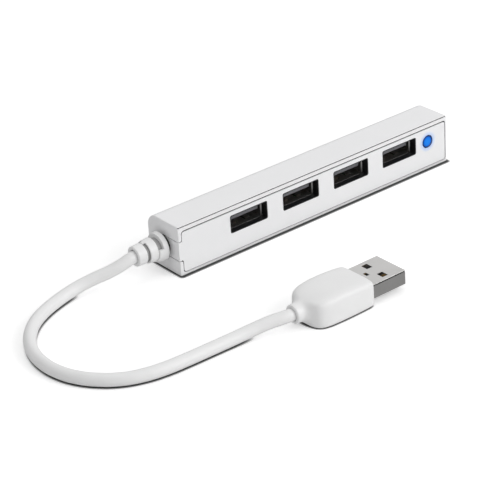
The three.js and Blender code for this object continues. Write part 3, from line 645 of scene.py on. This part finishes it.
def front_panel():
    low = Vector((MOUTH_LOW.x + SEAM["side"], PANEL_LOW.y, MOUTH_LOW.z + SEAM["bottom"]))
    high = Vector((MOUTH_HIGH.x - SEAM["side"], PANEL_BACK, MOUTH_HIGH.z - SEAM["top"]))
    piece = add_block("front_panel_skin", low, high)
    round_edges(piece, MOUTH_RADIUS - SEAM["side"], 6, lambda place, way, angle: along(way, 1))
    band_low, band_high = SLOT_LOW_Z + SEAM["wrap"], SLOT_HIGH_Z - SEAM["wrap"]
    left = HUB_LOW.x + 0.02 * MM
    wrap_low, wrap_high = Vector((left, low.y, band_low)), Vector((low.x + MM, high.y, band_high))
    combine(piece, add_block("wrap", wrap_low, wrap_high), "UNION")
    cheek_high = Vector((MOUTH_LOW.x, CHEEK_END_Y, band_high))
    combine(piece, add_block("cheek", wrap_low, cheek_high), "UNION")
    round_edges(
        piece,
        WRAP_CORNER_RADIUS,
        4,
        lambda place, way, angle: along(way, 2) and near(place.x, left) and near(place.y, low.y),
    )
    round_edges(
        piece,
        HOOK_RADIUS,
        5,
        lambda place, way, angle: along(way, 1)
        and near(place.x, low.x)
        and (near(place.z, band_low) or near(place.z, band_high)),
    )
    # The plate's back edge is cut away, so the seam above it opens into the dark inside.
    round_edges(
        piece,
        PANEL_BACK_CUT,
        1,
        lambda place, way, angle: along(way, 0) and near(place.y, high.y) and near(place.z, high.z),
    )
    neck = RELIEF_CENTRE.copy()
    neck_room = add_rod("neck_room", neck, (NECK_RADIUS + 0.15) * MM, 8 * MM, "x")
    combine(piece, neck_room, "DIFFERENCE")
    first = port_cutter()
    for port in range(1, PORTS + 1):
        shift = port_centre(port) - port_centre(1)
        combine(piece, moved_copy(first, "port", shift), "DIFFERENCE")
    bpy.data.objects.remove(first)
    lamp = Vector((LENS_CENTRE.x, PANEL_LOW.y, LENS_CENTRE.z))
    combine(piece, add_rod("lamp_hole", lamp, LAMP_HOLE_RADIUS, 6 * MM, "y"), "DIFFERENCE")
    return piece


PANEL = finish_piece(front_panel(), "white_abs", "front_panel")

# %% [markdown]
# ## The receptacles' mouths
#
# Each receptacle is a folded steel shell. Its side lips are eased so that a plug slides
# in, and the right-hand lip is the bright upright line inside each port. The frame's
# shell already has its springs and legs, so a merged copy of it gets the eased lips. It
# is cut once and copied to the other three ports.

# %% Receptacle shells
LIP_EASE = 0.28 * MM
LIP_RADIUS = 1.0 * MM
LIP_CUT = 12 * MM


def receptacle_shell():
    """The first port's shell, with its two inner side edges cut at 45 degrees."""
    source = NODES["port_1_shell"]
    low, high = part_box("port_1_shell")
    piece = moved_copy(source, "port_1_shell_skin", Vector((0, 0, 0)))
    clean(piece)
    middle_z = (low.z + high.z) / 2
    for x in (low.x + STEEL, high.x - STEEL):
        place = Vector((x, low.y - LIP_RADIUS + LIP_EASE, middle_z))
        rod = add_rod("lip", place, LIP_RADIUS, LIP_CUT, "z", sides=4)
        combine(piece, rod, "DIFFERENCE")
    return piece


SHELL_1 = receptacle_shell()
PORT_SHELLS = [SHELL_1]
for port in range(2, PORTS + 1):
    shift = port_centre(port) - port_centre(1)
    PORT_SHELLS.append(moved_copy(SHELL_1, f"port_{port}_shell_skin", shift))
for port, shell in enumerate(PORT_SHELLS, start=1):
    finish_piece(shell, "connector_steel", f"port_{port}_shell")

# %% [markdown]
# ## The lamp's lens
#
# The lens is a small dome of blue polycarbonate that fills its hole. It is turned, so
# its profile is spun about the lamp's axis.

# %% Lens
LENS_DOME = 0.3


def status_lens():
    """A dome, a flange behind the panel and a stub towards the lamp."""
    radius = LENS_RADIUS / MM
    depth = (PANEL_BACK - LENS_LOW.y) / MM
    turns = [math.radians(90 * step / 10) for step in range(11)]
    profile = [(LENS_DOME * (1 - math.cos(t)), radius * math.sin(t)) for t in turns]
    profile += [(depth + 0.05, radius), (depth + 0.05, radius + 0.7)]
    profile += [(depth + 0.75, radius + 0.7), (depth + 0.75, 1.4)]
    profile += [(depth + 1.4, 1.4), (depth + 1.4, 0)]
    crown = Vector((LENS_CENTRE.x, LENS_LOW.y, LENS_CENTRE.z))
    return spin_profile("status_lens_skin", profile, crown, (0, 1, 0))


LENS_PIECE = finish_piece(status_lens(), "blue_lens", "status_lens")

# %% [markdown]
# ## Finishes
#
# Each finish starts from the real material and how its surface was made. Colours are
# given as sRGB, as a swatch book gives them, and turned to linear light once.

# %% Colour and nodes


def linear(swatch):
    """An sRGB hex colour as linear light."""
    parts = [int(swatch[i : i + 2], 16) / 255 for i in (1, 3, 5)]
    lit = [c / 12.92 if c <= 0.04045 else ((c + 0.055) / 1.055) ** 2.4 for c in parts]
    return (*lit, 1)


def add(tree, kind, inputs=None, **settings):
    """Adds one node, with its settings, and fills or links its inputs."""
    made = tree.nodes.new(kind)
    for key, value in settings.items():
        setattr(made, key, value)
    for key, value in (inputs or {}).items():
        if isinstance(value, bpy.types.NodeSocket):
            tree.links.new(value, made.inputs[key])
        else:
            made.inputs[key].default_value = value
    return made


def start_finish(name, **sockets):
    """A new material with its shader's constant sockets set."""
    material = bpy.data.materials.new(name)
    material.use_nodes = True
    tree = material.node_tree
    shader = tree.nodes["Principled BSDF"]
    for key, value in sockets.items():
        shader.inputs[key.replace("_", " ").title().replace("Ior", "IOR")].default_value = value
    place = add(tree, "ShaderNodeTexCoord").outputs["Object"]
    return material, tree, shader, place


def mottle(tree, place, size_mm, dark, pale, detail=2.0):
    """Clouds about this many millimetres across, and the two swatches blended by them."""
    noise = {"Vector": place, "Scale": 1000 / size_mm, "Detail": detail}
    clouds = add(tree, "ShaderNodeTexNoise", noise).outputs["Fac"]
    blend = {0: clouds, 6: linear(dark), 7: linear(pale)}
    return clouds, add(tree, "ShaderNodeMix", blend, data_type="RGBA").outputs[2]


def surface(tree, shader, tone, texture, rough, height_mm=0):
    """Colours the shader. The texture spreads its roughness between two values, and may
    raise its surface by up to this many millimetres."""
    tree.links.new(tone, shader.inputs["Base Color"])
    spread = {"Value": texture, "To Min": rough[0], "To Max": rough[1]}
    gloss = add(tree, "ShaderNodeMapRange", spread).outputs["Result"]
    tree.links.new(gloss, shader.inputs["Roughness"])
    if height_mm:
        raised = {"Height": texture, "Distance": height_mm * MM, "Strength": 1.0}
        normal = add(tree, "ShaderNodeBump", raised).outputs["Normal"]
        tree.links.new(normal, shader.inputs["Normal"])


# %% [markdown]
# ### White ABS
#
# The housing and the panel are taken as ABS, moulded in a tool with a very fine
# spark-eroded grain. It gives the eye a satin white whose highlights are broad and a
# little uneven. The seams are too narrow for light alone to draw them as dark as they
# look on such a moulding, so shade is painted grey on the faces inside them. The lamp's
# blue spill of light on the panel is painted too.

# %% White ABS
# The grey of the shade painted inside the seams.
SEAM_SHADE_GREY = "#5A5A5A"
SEAM_FADE = 0.25 * MM
# The lamp's blue light, painted on the panel round its hole.
HALO = {"width": 1.5 * MM, "strength": 0.5, "swatch": "#8DBBFF"}


def seam_shade_mask(tree, place):
    """1 on the faces inside the seam round the panel and inside the edge line, where shade is
    painted, else 0.
    """
    parts = add(tree, "ShaderNodeSeparateXYZ", {"Vector": place}).outputs
    mouth_middle = (MOUTH_LOW + MOUTH_HIGH) / 2
    mouth_half = (MOUTH_HIGH - MOUTH_LOW) / 2
    line_half = Vector(((HUB_HIGH.x - HUB_LOW.x) / 2 - 0.15 * MM, 0, EDGE_LINE["width"] / 2 * MM))
    line_z = HUB_HIGH.z - EDGE_LINE["below_top"] * MM - line_half.z
    # Each seam's middle, half size, and how far behind the front it starts to darken.
    seams = [
        (mouth_middle, mouth_half, 0.25 * MM),
        (Vector((0, 0, line_z)), line_half, 0.05 * MM),
    ]
    room = 0.02 * MM
    mask = 0.0
    for middle, half, start in seams:
        fade = {"Value": parts["Y"], "From Min": HUB_LOW.y + start}
        fade["From Max"] = fade["From Min"] + SEAM_FADE
        inside = add(tree, "ShaderNodeMapRange", fade).outputs["Result"]
        tests = [
            ("COMPARE", {0: parts["X"], 1: middle.x, 2: half.x + room}),
            ("COMPARE", {0: parts["Z"], 1: middle.z, 2: half.z + room}),
            ("LESS_THAN", {0: parts["Y"], 1: -MM}),
        ]
        for operation, values in tests:
            passed = add(tree, "ShaderNodeMath", values, operation=operation).outputs[0]
            both = {0: inside, 1: passed}
            inside = add(tree, "ShaderNodeMath", both, operation="MULTIPLY").outputs[0]
        mask = add(tree, "ShaderNodeMath", {0: inside, 1: mask}, operation="MAXIMUM").outputs[0]
    return mask


def white_abs():
    material, tree, shader, place = start_finish("white_abs_fine_grain_moulded", ior=1.54)
    # Broad flow marks, 9 mm across, and a grain of 0.3 mm, which is drawn coarser than a
    # tool's usual grain so that it shows.
    _, tone = mottle(tree, place, 9, "#E9E9EA", "#EDEDEE")
    lamp = Vector((LENS_CENTRE.x, PANEL_LOW.y, LENS_CENTRE.z))
    away = add(tree, "ShaderNodeVectorMath", {0: place, 1: lamp}, operation="DISTANCE")
    halo = add(
        tree,
        "ShaderNodeMapRange",
        {
            "Value": away.outputs["Value"],
            "From Min": LAMP_HOLE_RADIUS,
            "From Max": LAMP_HOLE_RADIUS + HALO["width"],
            "To Min": HALO["strength"],
            "To Max": 0.0,
        },
        interpolation_type="SMOOTHSTEP",
    ).outputs["Result"]
    # Mixes in the painted blue light round the lamp and the painted shade in the seams.
    for mask, swatch in [(halo, HALO["swatch"]), (seam_shade_mask(tree, place), SEAM_SHADE_GREY)]:
        blend = {0: mask, 6: tone, 7: linear(swatch)}
        tone = add(tree, "ShaderNodeMix", blend, data_type="RGBA").outputs[2]
    noise = {"Vector": place, "Scale": 1000 / 0.3, "Detail": 2.0}
    fine = add(tree, "ShaderNodeTexNoise", noise).outputs["Fac"]
    surface(tree, shader, tone, fine, (0.34, 0.46), 0.006)
    return material


# %% [markdown]
# ### White PVC
#
# The lead, the relief and the plug's overmould are taken as flexible PVC. It is softer to
# look at than ABS: its gloss is lower and more even. Shade is painted darker on the floors
# of the relief's slots and all round its neck, for the reason it is painted in the seams.

# %% White PVC
# Greys of the shade painted in the relief's slots and round its neck.
SLOT_SHADE_GREY = "#9C9C9C"
NECK_SHADE_GREY = "#2C2C2C"


def white_vinyl():
    material, tree, shader, place = start_finish("white_pvc_flexible_moulded", ior=1.53)
    _, tone = mottle(tree, place, 6, "#E4E4E4", "#E9E9E9")
    centre = {0: place, 1: RELIEF_CENTRE}
    offset = add(tree, "ShaderNodeVectorMath", centre, operation="SUBTRACT").outputs[0]
    depth = add(tree, "ShaderNodeSeparateXYZ", {"Vector": offset}).outputs["X"]
    across = add(tree, "ShaderNodeVectorMath", {0: offset, 1: (0, 1, 1)}, operation="MULTIPLY")
    radius = add(tree, "ShaderNodeVectorMath", {0: across.outputs[0]}, operation="LENGTH")
    core = {0: radius.outputs["Value"], 1: (NECK_RADIUS + 0.03) * MM}
    inner = add(tree, "ShaderNodeMath", core, operation="LESS_THAN").outputs[0]
    # Painted shade: grey on the slots' floors, nearly black on the neck.
    for reach, swatch in [
        (RELIEF_SLOTS[-1][1] + 0.1, SLOT_SHADE_GREY),
        (RELIEF_STAGES[0][0], NECK_SHADE_GREY),
    ]:
        near_hub = {0: depth, 1: -reach * MM}
        close = add(tree, "ShaderNodeMath", near_hub, operation="GREATER_THAN").outputs[0]
        mask = add(tree, "ShaderNodeMath", {0: inner, 1: close}, operation="MULTIPLY").outputs[0]
        blend = {0: mask, 6: tone, 7: linear(swatch)}
        tone = add(tree, "ShaderNodeMix", blend, data_type="RGBA").outputs[2]
    noise = {"Vector": place, "Scale": 1000 / 0.4, "Detail": 2.0}
    fine = add(tree, "ShaderNodeTexNoise", noise).outputs["Fac"]
    surface(tree, shader, tone, fine, (0.4, 0.5), 0.005)
    return material


# %% [markdown]
# ### PBT in black and grey
#
# The port frame and the plug's insulator are black, and the tongues are the same kind of
# plastic in a dark grey, so they show as a dull band under the upper edge of each black
# mouth. They are taken as glass-filled PBT, whose glass leaves it faintly mottled.

# %% PBT


def black_abs():
    material, tree, shader, place = start_finish("black_pbt_glass_filled", ior=1.57)
    fibres, tone = mottle(tree, place, 0.5, "#0E0F10", "#1B1C1E", detail=4)
    surface(tree, shader, tone, fibres, (0.3, 0.5), 0.01)
    return material


def tongue_pbt():
    material, tree, shader, place = start_finish("grey_pbt_glass_filled", ior=1.57)
    fibres, tone = mottle(tree, place, 0.5, "#6A6A6E", "#808084", detail=4)
    surface(tree, shader, tone, fibres, (0.35, 0.5), 0.008)
    return material


def plug_insulator():
    material, tree, shader, place = start_finish("black_pbt_moulded", ior=1.57)
    clouds, tone = mottle(tree, place, 1.5, "#0D0D0E", "#18181A")
    surface(tree, shader, tone, clouds, (0.4, 0.5))
    return material


# %% [markdown]
# ### Nickel-plated steel
#
# The shells are rolled steel strip with a nickel plate. Rolling leaves fine streaks along
# the strip, and they pull every reflection out lengthways. The plug's fold line is too
# fine for light to draw it, so shade is painted dark inside it.

# %% Nickel-plated steel
FOLD_REACH = 0.22 * MM
STREAK_STRETCH = (0.06, 1, 1)


def connector_steel():
    material, tree, shader, place = start_finish("steel_strip_nickel_plated", metallic=1.0)
    _, tone = mottle(tree, place, 5, "#C2C1BF", "#CDCCCB")
    middle = (FOLD["low"] + FOLD["high"]) / 2
    fold = Vector((0, SHELL_LOW.y + FOLD["depth"] * MM, SHELL_HIGH.z - middle * MM))
    offset = add(tree, "ShaderNodeVectorMath", {0: place, 1: fold}, operation="SUBTRACT")
    across = {0: offset.outputs[0], 1: (0, 1, 1)}
    across = add(tree, "ShaderNodeVectorMath", across, operation="MULTIPLY").outputs[0]
    away = add(tree, "ShaderNodeVectorMath", {0: across}, operation="LENGTH").outputs["Value"]
    # Shade painted near-black inside the plug shell's fold line.
    close = {0: away, 1: FOLD_REACH}
    fold_shade = add(tree, "ShaderNodeMath", close, operation="LESS_THAN").outputs[0]
    blend = {0: fold_shade, 6: tone, 7: linear("#222222")}
    tone = add(tree, "ShaderNodeMix", blend, data_type="RGBA").outputs[2]
    stretch = {"Vector": place, "Scale": STREAK_STRETCH}
    stretched = add(tree, "ShaderNodeMapping", stretch).outputs["Vector"]
    noise = {"Vector": stretched, "Scale": 1000 / 0.25, "Detail": 3.0}
    streaks = add(tree, "ShaderNodeTexNoise", noise).outputs["Fac"]
    surface(tree, shader, tone, streaks, (0.26, 0.4), 0.002)
    return material


# %% [markdown]
# ### Gold flash
#
# The contacts have a thin gold flash over nickel, bright where a plug wipes them.

# %% Gold flash


def contact_gold():
    material, tree, shader, place = start_finish("gold_flash_over_nickel", metallic=1.0)
    wiped, tone = mottle(tree, place, 0.8, "#A07C3C", "#B4935A")
    surface(tree, shader, tone, wiped, (0.2, 0.34))
    return material


# %% [markdown]
# ### Blue lens
#
# The lens is tinted polycarbonate with the lamp lit behind it. It glows strongest at
# its middle and falls to deep navy at the rim, where the plastic is thick and in shade.

# %% Blue lens
LENS_GLOW = 0.8
# The glow's colour at these parts of the lens's radius.
LENS_STOPS = [(0.0, "#1C90FF"), (0.5, "#1688FA"), (0.74, "#1266D0"), (0.88, "#04183A")]


def blue_lens():
    material, tree, shader, place = start_finish("polycarbonate_blue_lit", ior=1.58, roughness=0.12)
    scale = Vector((1, 0, 1)) / LENS_RADIUS
    centre = Vector((-LENS_CENTRE.x, 0, -LENS_CENTRE.z)) / LENS_RADIUS
    centring = {"Vector": place, "Location": centre, "Scale": scale}
    across = add(tree, "ShaderNodeMapping", centring).outputs["Vector"]
    out = add(tree, "ShaderNodeVectorMath", {0: across}, operation="LENGTH").outputs["Value"]
    ramp = add(tree, "ShaderNodeValToRGB", {"Fac": out})
    while len(ramp.color_ramp.elements) < len(LENS_STOPS):
        ramp.color_ramp.elements.new(0.5)
    for element, (position, swatch) in zip(ramp.color_ramp.elements, LENS_STOPS):
        element.position = position
        element.color = linear(swatch)
    shader.inputs["Specular IOR Level"].default_value = 0.2
    _, body = mottle(tree, place, 1.2, "#041C44", "#06265A")
    tree.links.new(body, shader.inputs["Base Color"])
    tree.links.new(ramp.outputs["Color"], shader.inputs["Emission Color"])
    shader.inputs["Emission Strength"].default_value = LENS_GLOW
    return material


# %% [markdown]
# ### Finishes inside
#
# The board, its parts and the wires are seen only when the panel is off. They still get
# what such parts usually show: solder mask over copper tracks, matt moulding resin, a
# printed stripe on the capacitors, tinned ends on the small parts, and dyed insulation.

# %% Inner finishes
TRACK_SPACING = 0.6 * 2 * math.pi
STRIPE_FROM_Y = 1.6 * MM
TINNED_END = 0.6 * MM


def lamp_epoxy():
    material, tree, shader, place = start_finish(
        "epoxy_blue_tint_cast", ior=1.55, roughness=0.06, transmission_weight=0.6
    )
    _, tone = mottle(tree, place, 2, "#8FC0F4", "#B4D6F8")
    tree.links.new(tone, shader.inputs["Base Color"])
    return material


def solder_mask():
    material, tree, shader, place = start_finish("solder_mask_over_copper", ior=1.5)
    # Copper shows paler through the mask. The bands lie 3.8 mm apart, coarser than real
    # tracks. A wave of scale 1 turns through 20 radians in a metre.
    scale = 2 * math.pi * 1000 / TRACK_SPACING / 20
    waves = {"Vector": place, "Scale": scale, "Distortion": 3.0, "Detail": 1.0}
    tracks = add(tree, "ShaderNodeTexWave", waves, bands_direction="Y").outputs["Fac"]
    spread = {"Value": tracks, "To Min": -1.5, "To Max": 1}
    copper = add(tree, "ShaderNodeMapRange", spread).outputs["Result"]
    blend = {0: copper, 6: linear("#14482A"), 7: linear("#2B7444")}
    tone = add(tree, "ShaderNodeMix", blend, data_type="RGBA").outputs[2]
    surface(tree, shader, tone, tracks, (0.36, 0.44), 0.02)
    return material


def chip_resin():
    material, tree, shader, place = start_finish("epoxy_resin_transfer_moulded", ior=1.55)
    specks, tone = mottle(tree, place, 0.15, "#161617", "#29292B", detail=3)
    surface(tree, shader, tone, specks, (0.5, 0.7))
    return material


def capacitor_sleeve():
    material, tree, shader, place = start_finish("pet_sleeve_heat_shrunk", ior=1.57)
    y = add(tree, "ShaderNodeSeparateXYZ", {"Vector": place}).outputs["Y"]
    behind = {0: y, 1: STRIPE_FROM_Y}
    stripe = add(tree, "ShaderNodeMath", behind, operation="GREATER_THAN").outputs[0]
    blend = {0: stripe, 6: linear("#20212B"), 7: linear("#B9BCC2")}
    tone = add(tree, "ShaderNodeMix", blend, data_type="RGBA").outputs[2]
    noise = {"Vector": place, "Scale": 1000, "Detail": 2.0}
    clouds = add(tree, "ShaderNodeTexNoise", noise).outputs["Fac"]
    surface(tree, shader, tone, clouds, (0.28, 0.4))
    return material


def ceramic():
    material, tree, shader, place = start_finish("ceramic_fired_tinned_ends", ior=1.6)
    low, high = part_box("load_capacitor")
    x = add(tree, "ShaderNodeSeparateXYZ", {"Vector": place}).outputs["X"]
    centre = {0: x, 1: (low.x + high.x) / 2}
    offset = add(tree, "ShaderNodeMath", centre, operation="SUBTRACT").outputs[0]
    away = add(tree, "ShaderNodeMath", {0: offset}, operation="ABSOLUTE").outputs[0]
    past = {0: away, 1: TINNED_END}
    end = add(tree, "ShaderNodeMath", past, operation="GREATER_THAN").outputs[0]
    blend = {0: end, 6: linear("#9A7F62"), 7: linear("#C9C9C6")}
    tone = add(tree, "ShaderNodeMix", blend, data_type="RGBA").outputs[2]
    tree.links.new(end, shader.inputs["Metallic"])
    noise = {"Vector": place, "Scale": 1000 / 0.3, "Detail": 2.0}
    grain = add(tree, "ShaderNodeTexNoise", noise).outputs["Fac"]
    surface(tree, shader, tone, grain, (0.4, 0.55))
    return material


WIRE_DYES = {
    "wire_red": ("#A81E1A", "#BC2A22"),
    "wire_white": ("#E2E2E0", "#ECECEA"),
    "wire_green": ("#247A36", "#2F8F42"),
    "wire_black": ("#121213", "#1D1D1F"),
}


def wire(slot):
    material, tree, shader, place = start_finish(f"{slot}_pvc_insulation", ior=1.53)
    clouds, tone = mottle(tree, place, 0.8, *WIRE_DYES[slot])
    surface(tree, shader, tone, clouds, (0.38, 0.5))
    return material


# %% [markdown]
# ## Giving every piece its finish
#
# The frame's nodes arrive with a plain material named for their slot. Each one is
# swapped for the finish of that slot, and the new pieces take theirs by name.

# %% Assign finishes
FINISHES = {
    "white_abs": white_abs(),
    "white_vinyl": white_vinyl(),
    "black_abs": black_abs(),
    "tongue_pbt": tongue_pbt(),
    "connector_steel": connector_steel(),
    "contact_gold": contact_gold(),
    "blue_lens": blue_lens(),
    "lamp_epoxy": lamp_epoxy(),
    "solder_mask": solder_mask(),
    "chip_resin": chip_resin(),
    "capacitor_sleeve": capacitor_sleeve(),
    "ceramic": ceramic(),
    "plug_insulator": plug_insulator(),
    **{slot: wire(slot) for slot in WIRE_DYES},
}

for node in NODES.values():
    for holder in node.material_slots:
        slot = holder.material.name.split(".")[0]
        holder.material = FINISHES[slot]

for piece, slot in [
    (CABLE, "white_vinyl"),
    (RELIEF, "white_vinyl"),
    (OVERMOLD, "white_vinyl"),
    (PLUG_SHELL, "connector_steel"),
    *[(shell, "connector_steel") for shell in PORT_SHELLS],
    (HOUSING, "white_abs"),
    (PANEL, "white_abs"),
    (LENS_PIECE, "blue_lens"),
]:
    piece.data.materials.clear()
    piece.data.materials.append(FINISHES[slot])

print("finishes:", len(FINISHES))

# %% [markdown]
# ## Floor and light
#
# A white object on white is drawn by its shadows alone, so the floor is a bright sweep
# and the light is broad. One large soft box stands to the right and in front and gives
# most of the light. Three weak ones, overhead, behind and at the left, fill the rest, and
# the room is a soft grey that darkens towards the ground.

# %% Floor


FLOOR_GLOW = 0.3
# Painted contact shade: how near a piece counts, in millimetres, and how open the sky over
# the floor is where the shade is full and where it has gone.
CONTACT = {"reach": 1.2, "full": 0.3, "gone": 0.7}
# The line round the housing, in millimetres out from its footprint.
HUB_SHADE = {"full": 0.8, "end": 1.6, "short_at_ends": 0.5}


def hub_line(tree):
    """0 on the floor close round the housing and 1 beyond it. The line is painted, because
    the soft light alone leaves the housing's lower edge too faint."""
    place = add(tree, "ShaderNodeTexCoord").outputs["Object"]
    flat = add(tree, "ShaderNodeVectorMath", {0: place}, operation="ABSOLUTE").outputs[0]
    edge = Vector((HUB_HIGH.x - HUB_SHADE["short_at_ends"] * MM, HUB_HIGH.y, 0))
    past = add(tree, "ShaderNodeVectorMath", {0: flat, 1: edge}, operation="SUBTRACT").outputs[0]
    outward = {0: past, 1: (0, 0, 0)}
    past = add(tree, "ShaderNodeVectorMath", outward, operation="MAXIMUM").outputs[0]
    beyond = add(tree, "ShaderNodeVectorMath", {0: past}, operation="LENGTH").outputs["Value"]
    span = {"Value": beyond, "From Min": HUB_SHADE["full"] * MM, "From Max": HUB_SHADE["end"] * MM}
    return add(tree, "ShaderNodeMapRange", span).outputs["Result"]


def sweep():
    """A white floor that is a little brighter than paper wherever nothing stands close."""
    only(None)
    bpy.ops.mesh.primitive_plane_add(size=8, location=(0, 0, 0))
    floor = name_piece("floor")
    material = bpy.data.materials.new("floor_white")
    material.use_nodes = True
    tree = material.node_tree
    shader = tree.nodes["Principled BSDF"]
    shader.inputs["Roughness"].default_value = 0.7
    shader.inputs["Specular IOR Level"].default_value = 0.2
    shader.inputs["Emission Color"].default_value = (1, 1, 1, 1)
    # Where a piece touches the floor, a thin line of contact shade is painted into its colour, and
    # the glow is taken away there.
    reach = {"Distance": CONTACT["reach"] * MM}
    open_sky = add(tree, "ShaderNodeAmbientOcclusion", reach, samples=16).outputs["AO"]
    span = {"Value": open_sky, "From Min": CONTACT["full"], "From Max": CONTACT["gone"]}
    contact = add(tree, "ShaderNodeMapRange", span).outputs["Result"]
    both = {0: contact, 1: hub_line(tree)}
    clear = add(tree, "ShaderNodeMath", both, operation="MULTIPLY").outputs["Value"]
    blend = {0: clear, 6: linear("#4A4A4A"), 7: linear("#F2F2F2")}
    paper = add(tree, "ShaderNodeMix", blend, data_type="RGBA").outputs[2]
    tree.links.new(paper, shader.inputs["Base Color"])
    seen = add(tree, "ShaderNodeLightPath").outputs["Is Camera Ray"]
    lift = add(tree, "ShaderNodeMath", {0: clear, 1: seen}, operation="MULTIPLY").outputs[0]
    glow = add(tree, "ShaderNodeMath", {0: lift, 1: FLOOR_GLOW}, operation="MULTIPLY").outputs[0]
    tree.links.new(glow, shader.inputs["Emission Strength"])
    floor.data.materials.append(material)
    floor.visible_glossy = False


sweep()

# %% Lights


def soft_box(name, place, size, power):
    """A square area light that faces the hub."""
    bpy.ops.object.light_add(type="AREA", location=place)
    lamp = bpy.context.object
    lamp.name = name
    lamp.data.size = size
    lamp.data.energy = power
    lamp.rotation_euler = (TARGET - Vector(place)).to_track_quat("-Z", "Y").to_euler()


only(None)
soft_box("key", (0.45, -0.95, 0.6), 0.8, 7.3)
soft_box("overhead", (0.0, 0.2, 1.1), 0.9, 1.7)
soft_box("card_behind", (0.55, 0.75, 0.6), 0.9, 1.1)
soft_box("fill_left", (-0.8, 0.3, 0.35), 0.5, 0.15)


def room_light():
    """A grey room, pale above and darker below the horizon."""
    world = bpy.data.worlds.new("room")
    bpy.context.scene.world = world
    world.use_nodes = True
    tree = world.node_tree
    way = add(tree, "ShaderNodeTexCoord").outputs["Generated"]
    height = add(tree, "ShaderNodeSeparateXYZ", {"Vector": way}).outputs["Z"]
    strength = add(
        tree,
        "ShaderNodeMapRange",
        {"Value": height, "From Min": -0.3, "From Max": 0.9, "To Min": 0.38, "To Max": 0.6},
    ).outputs["Result"]
    tree.links.new(strength, tree.nodes["Background"].inputs["Strength"])
    tree.nodes["Background"].inputs["Color"].default_value = (1, 1, 1, 1)


room_light()
bpy.context.scene.view_settings.view_transform = "Standard"

# %% Leave nothing selected
only(None)
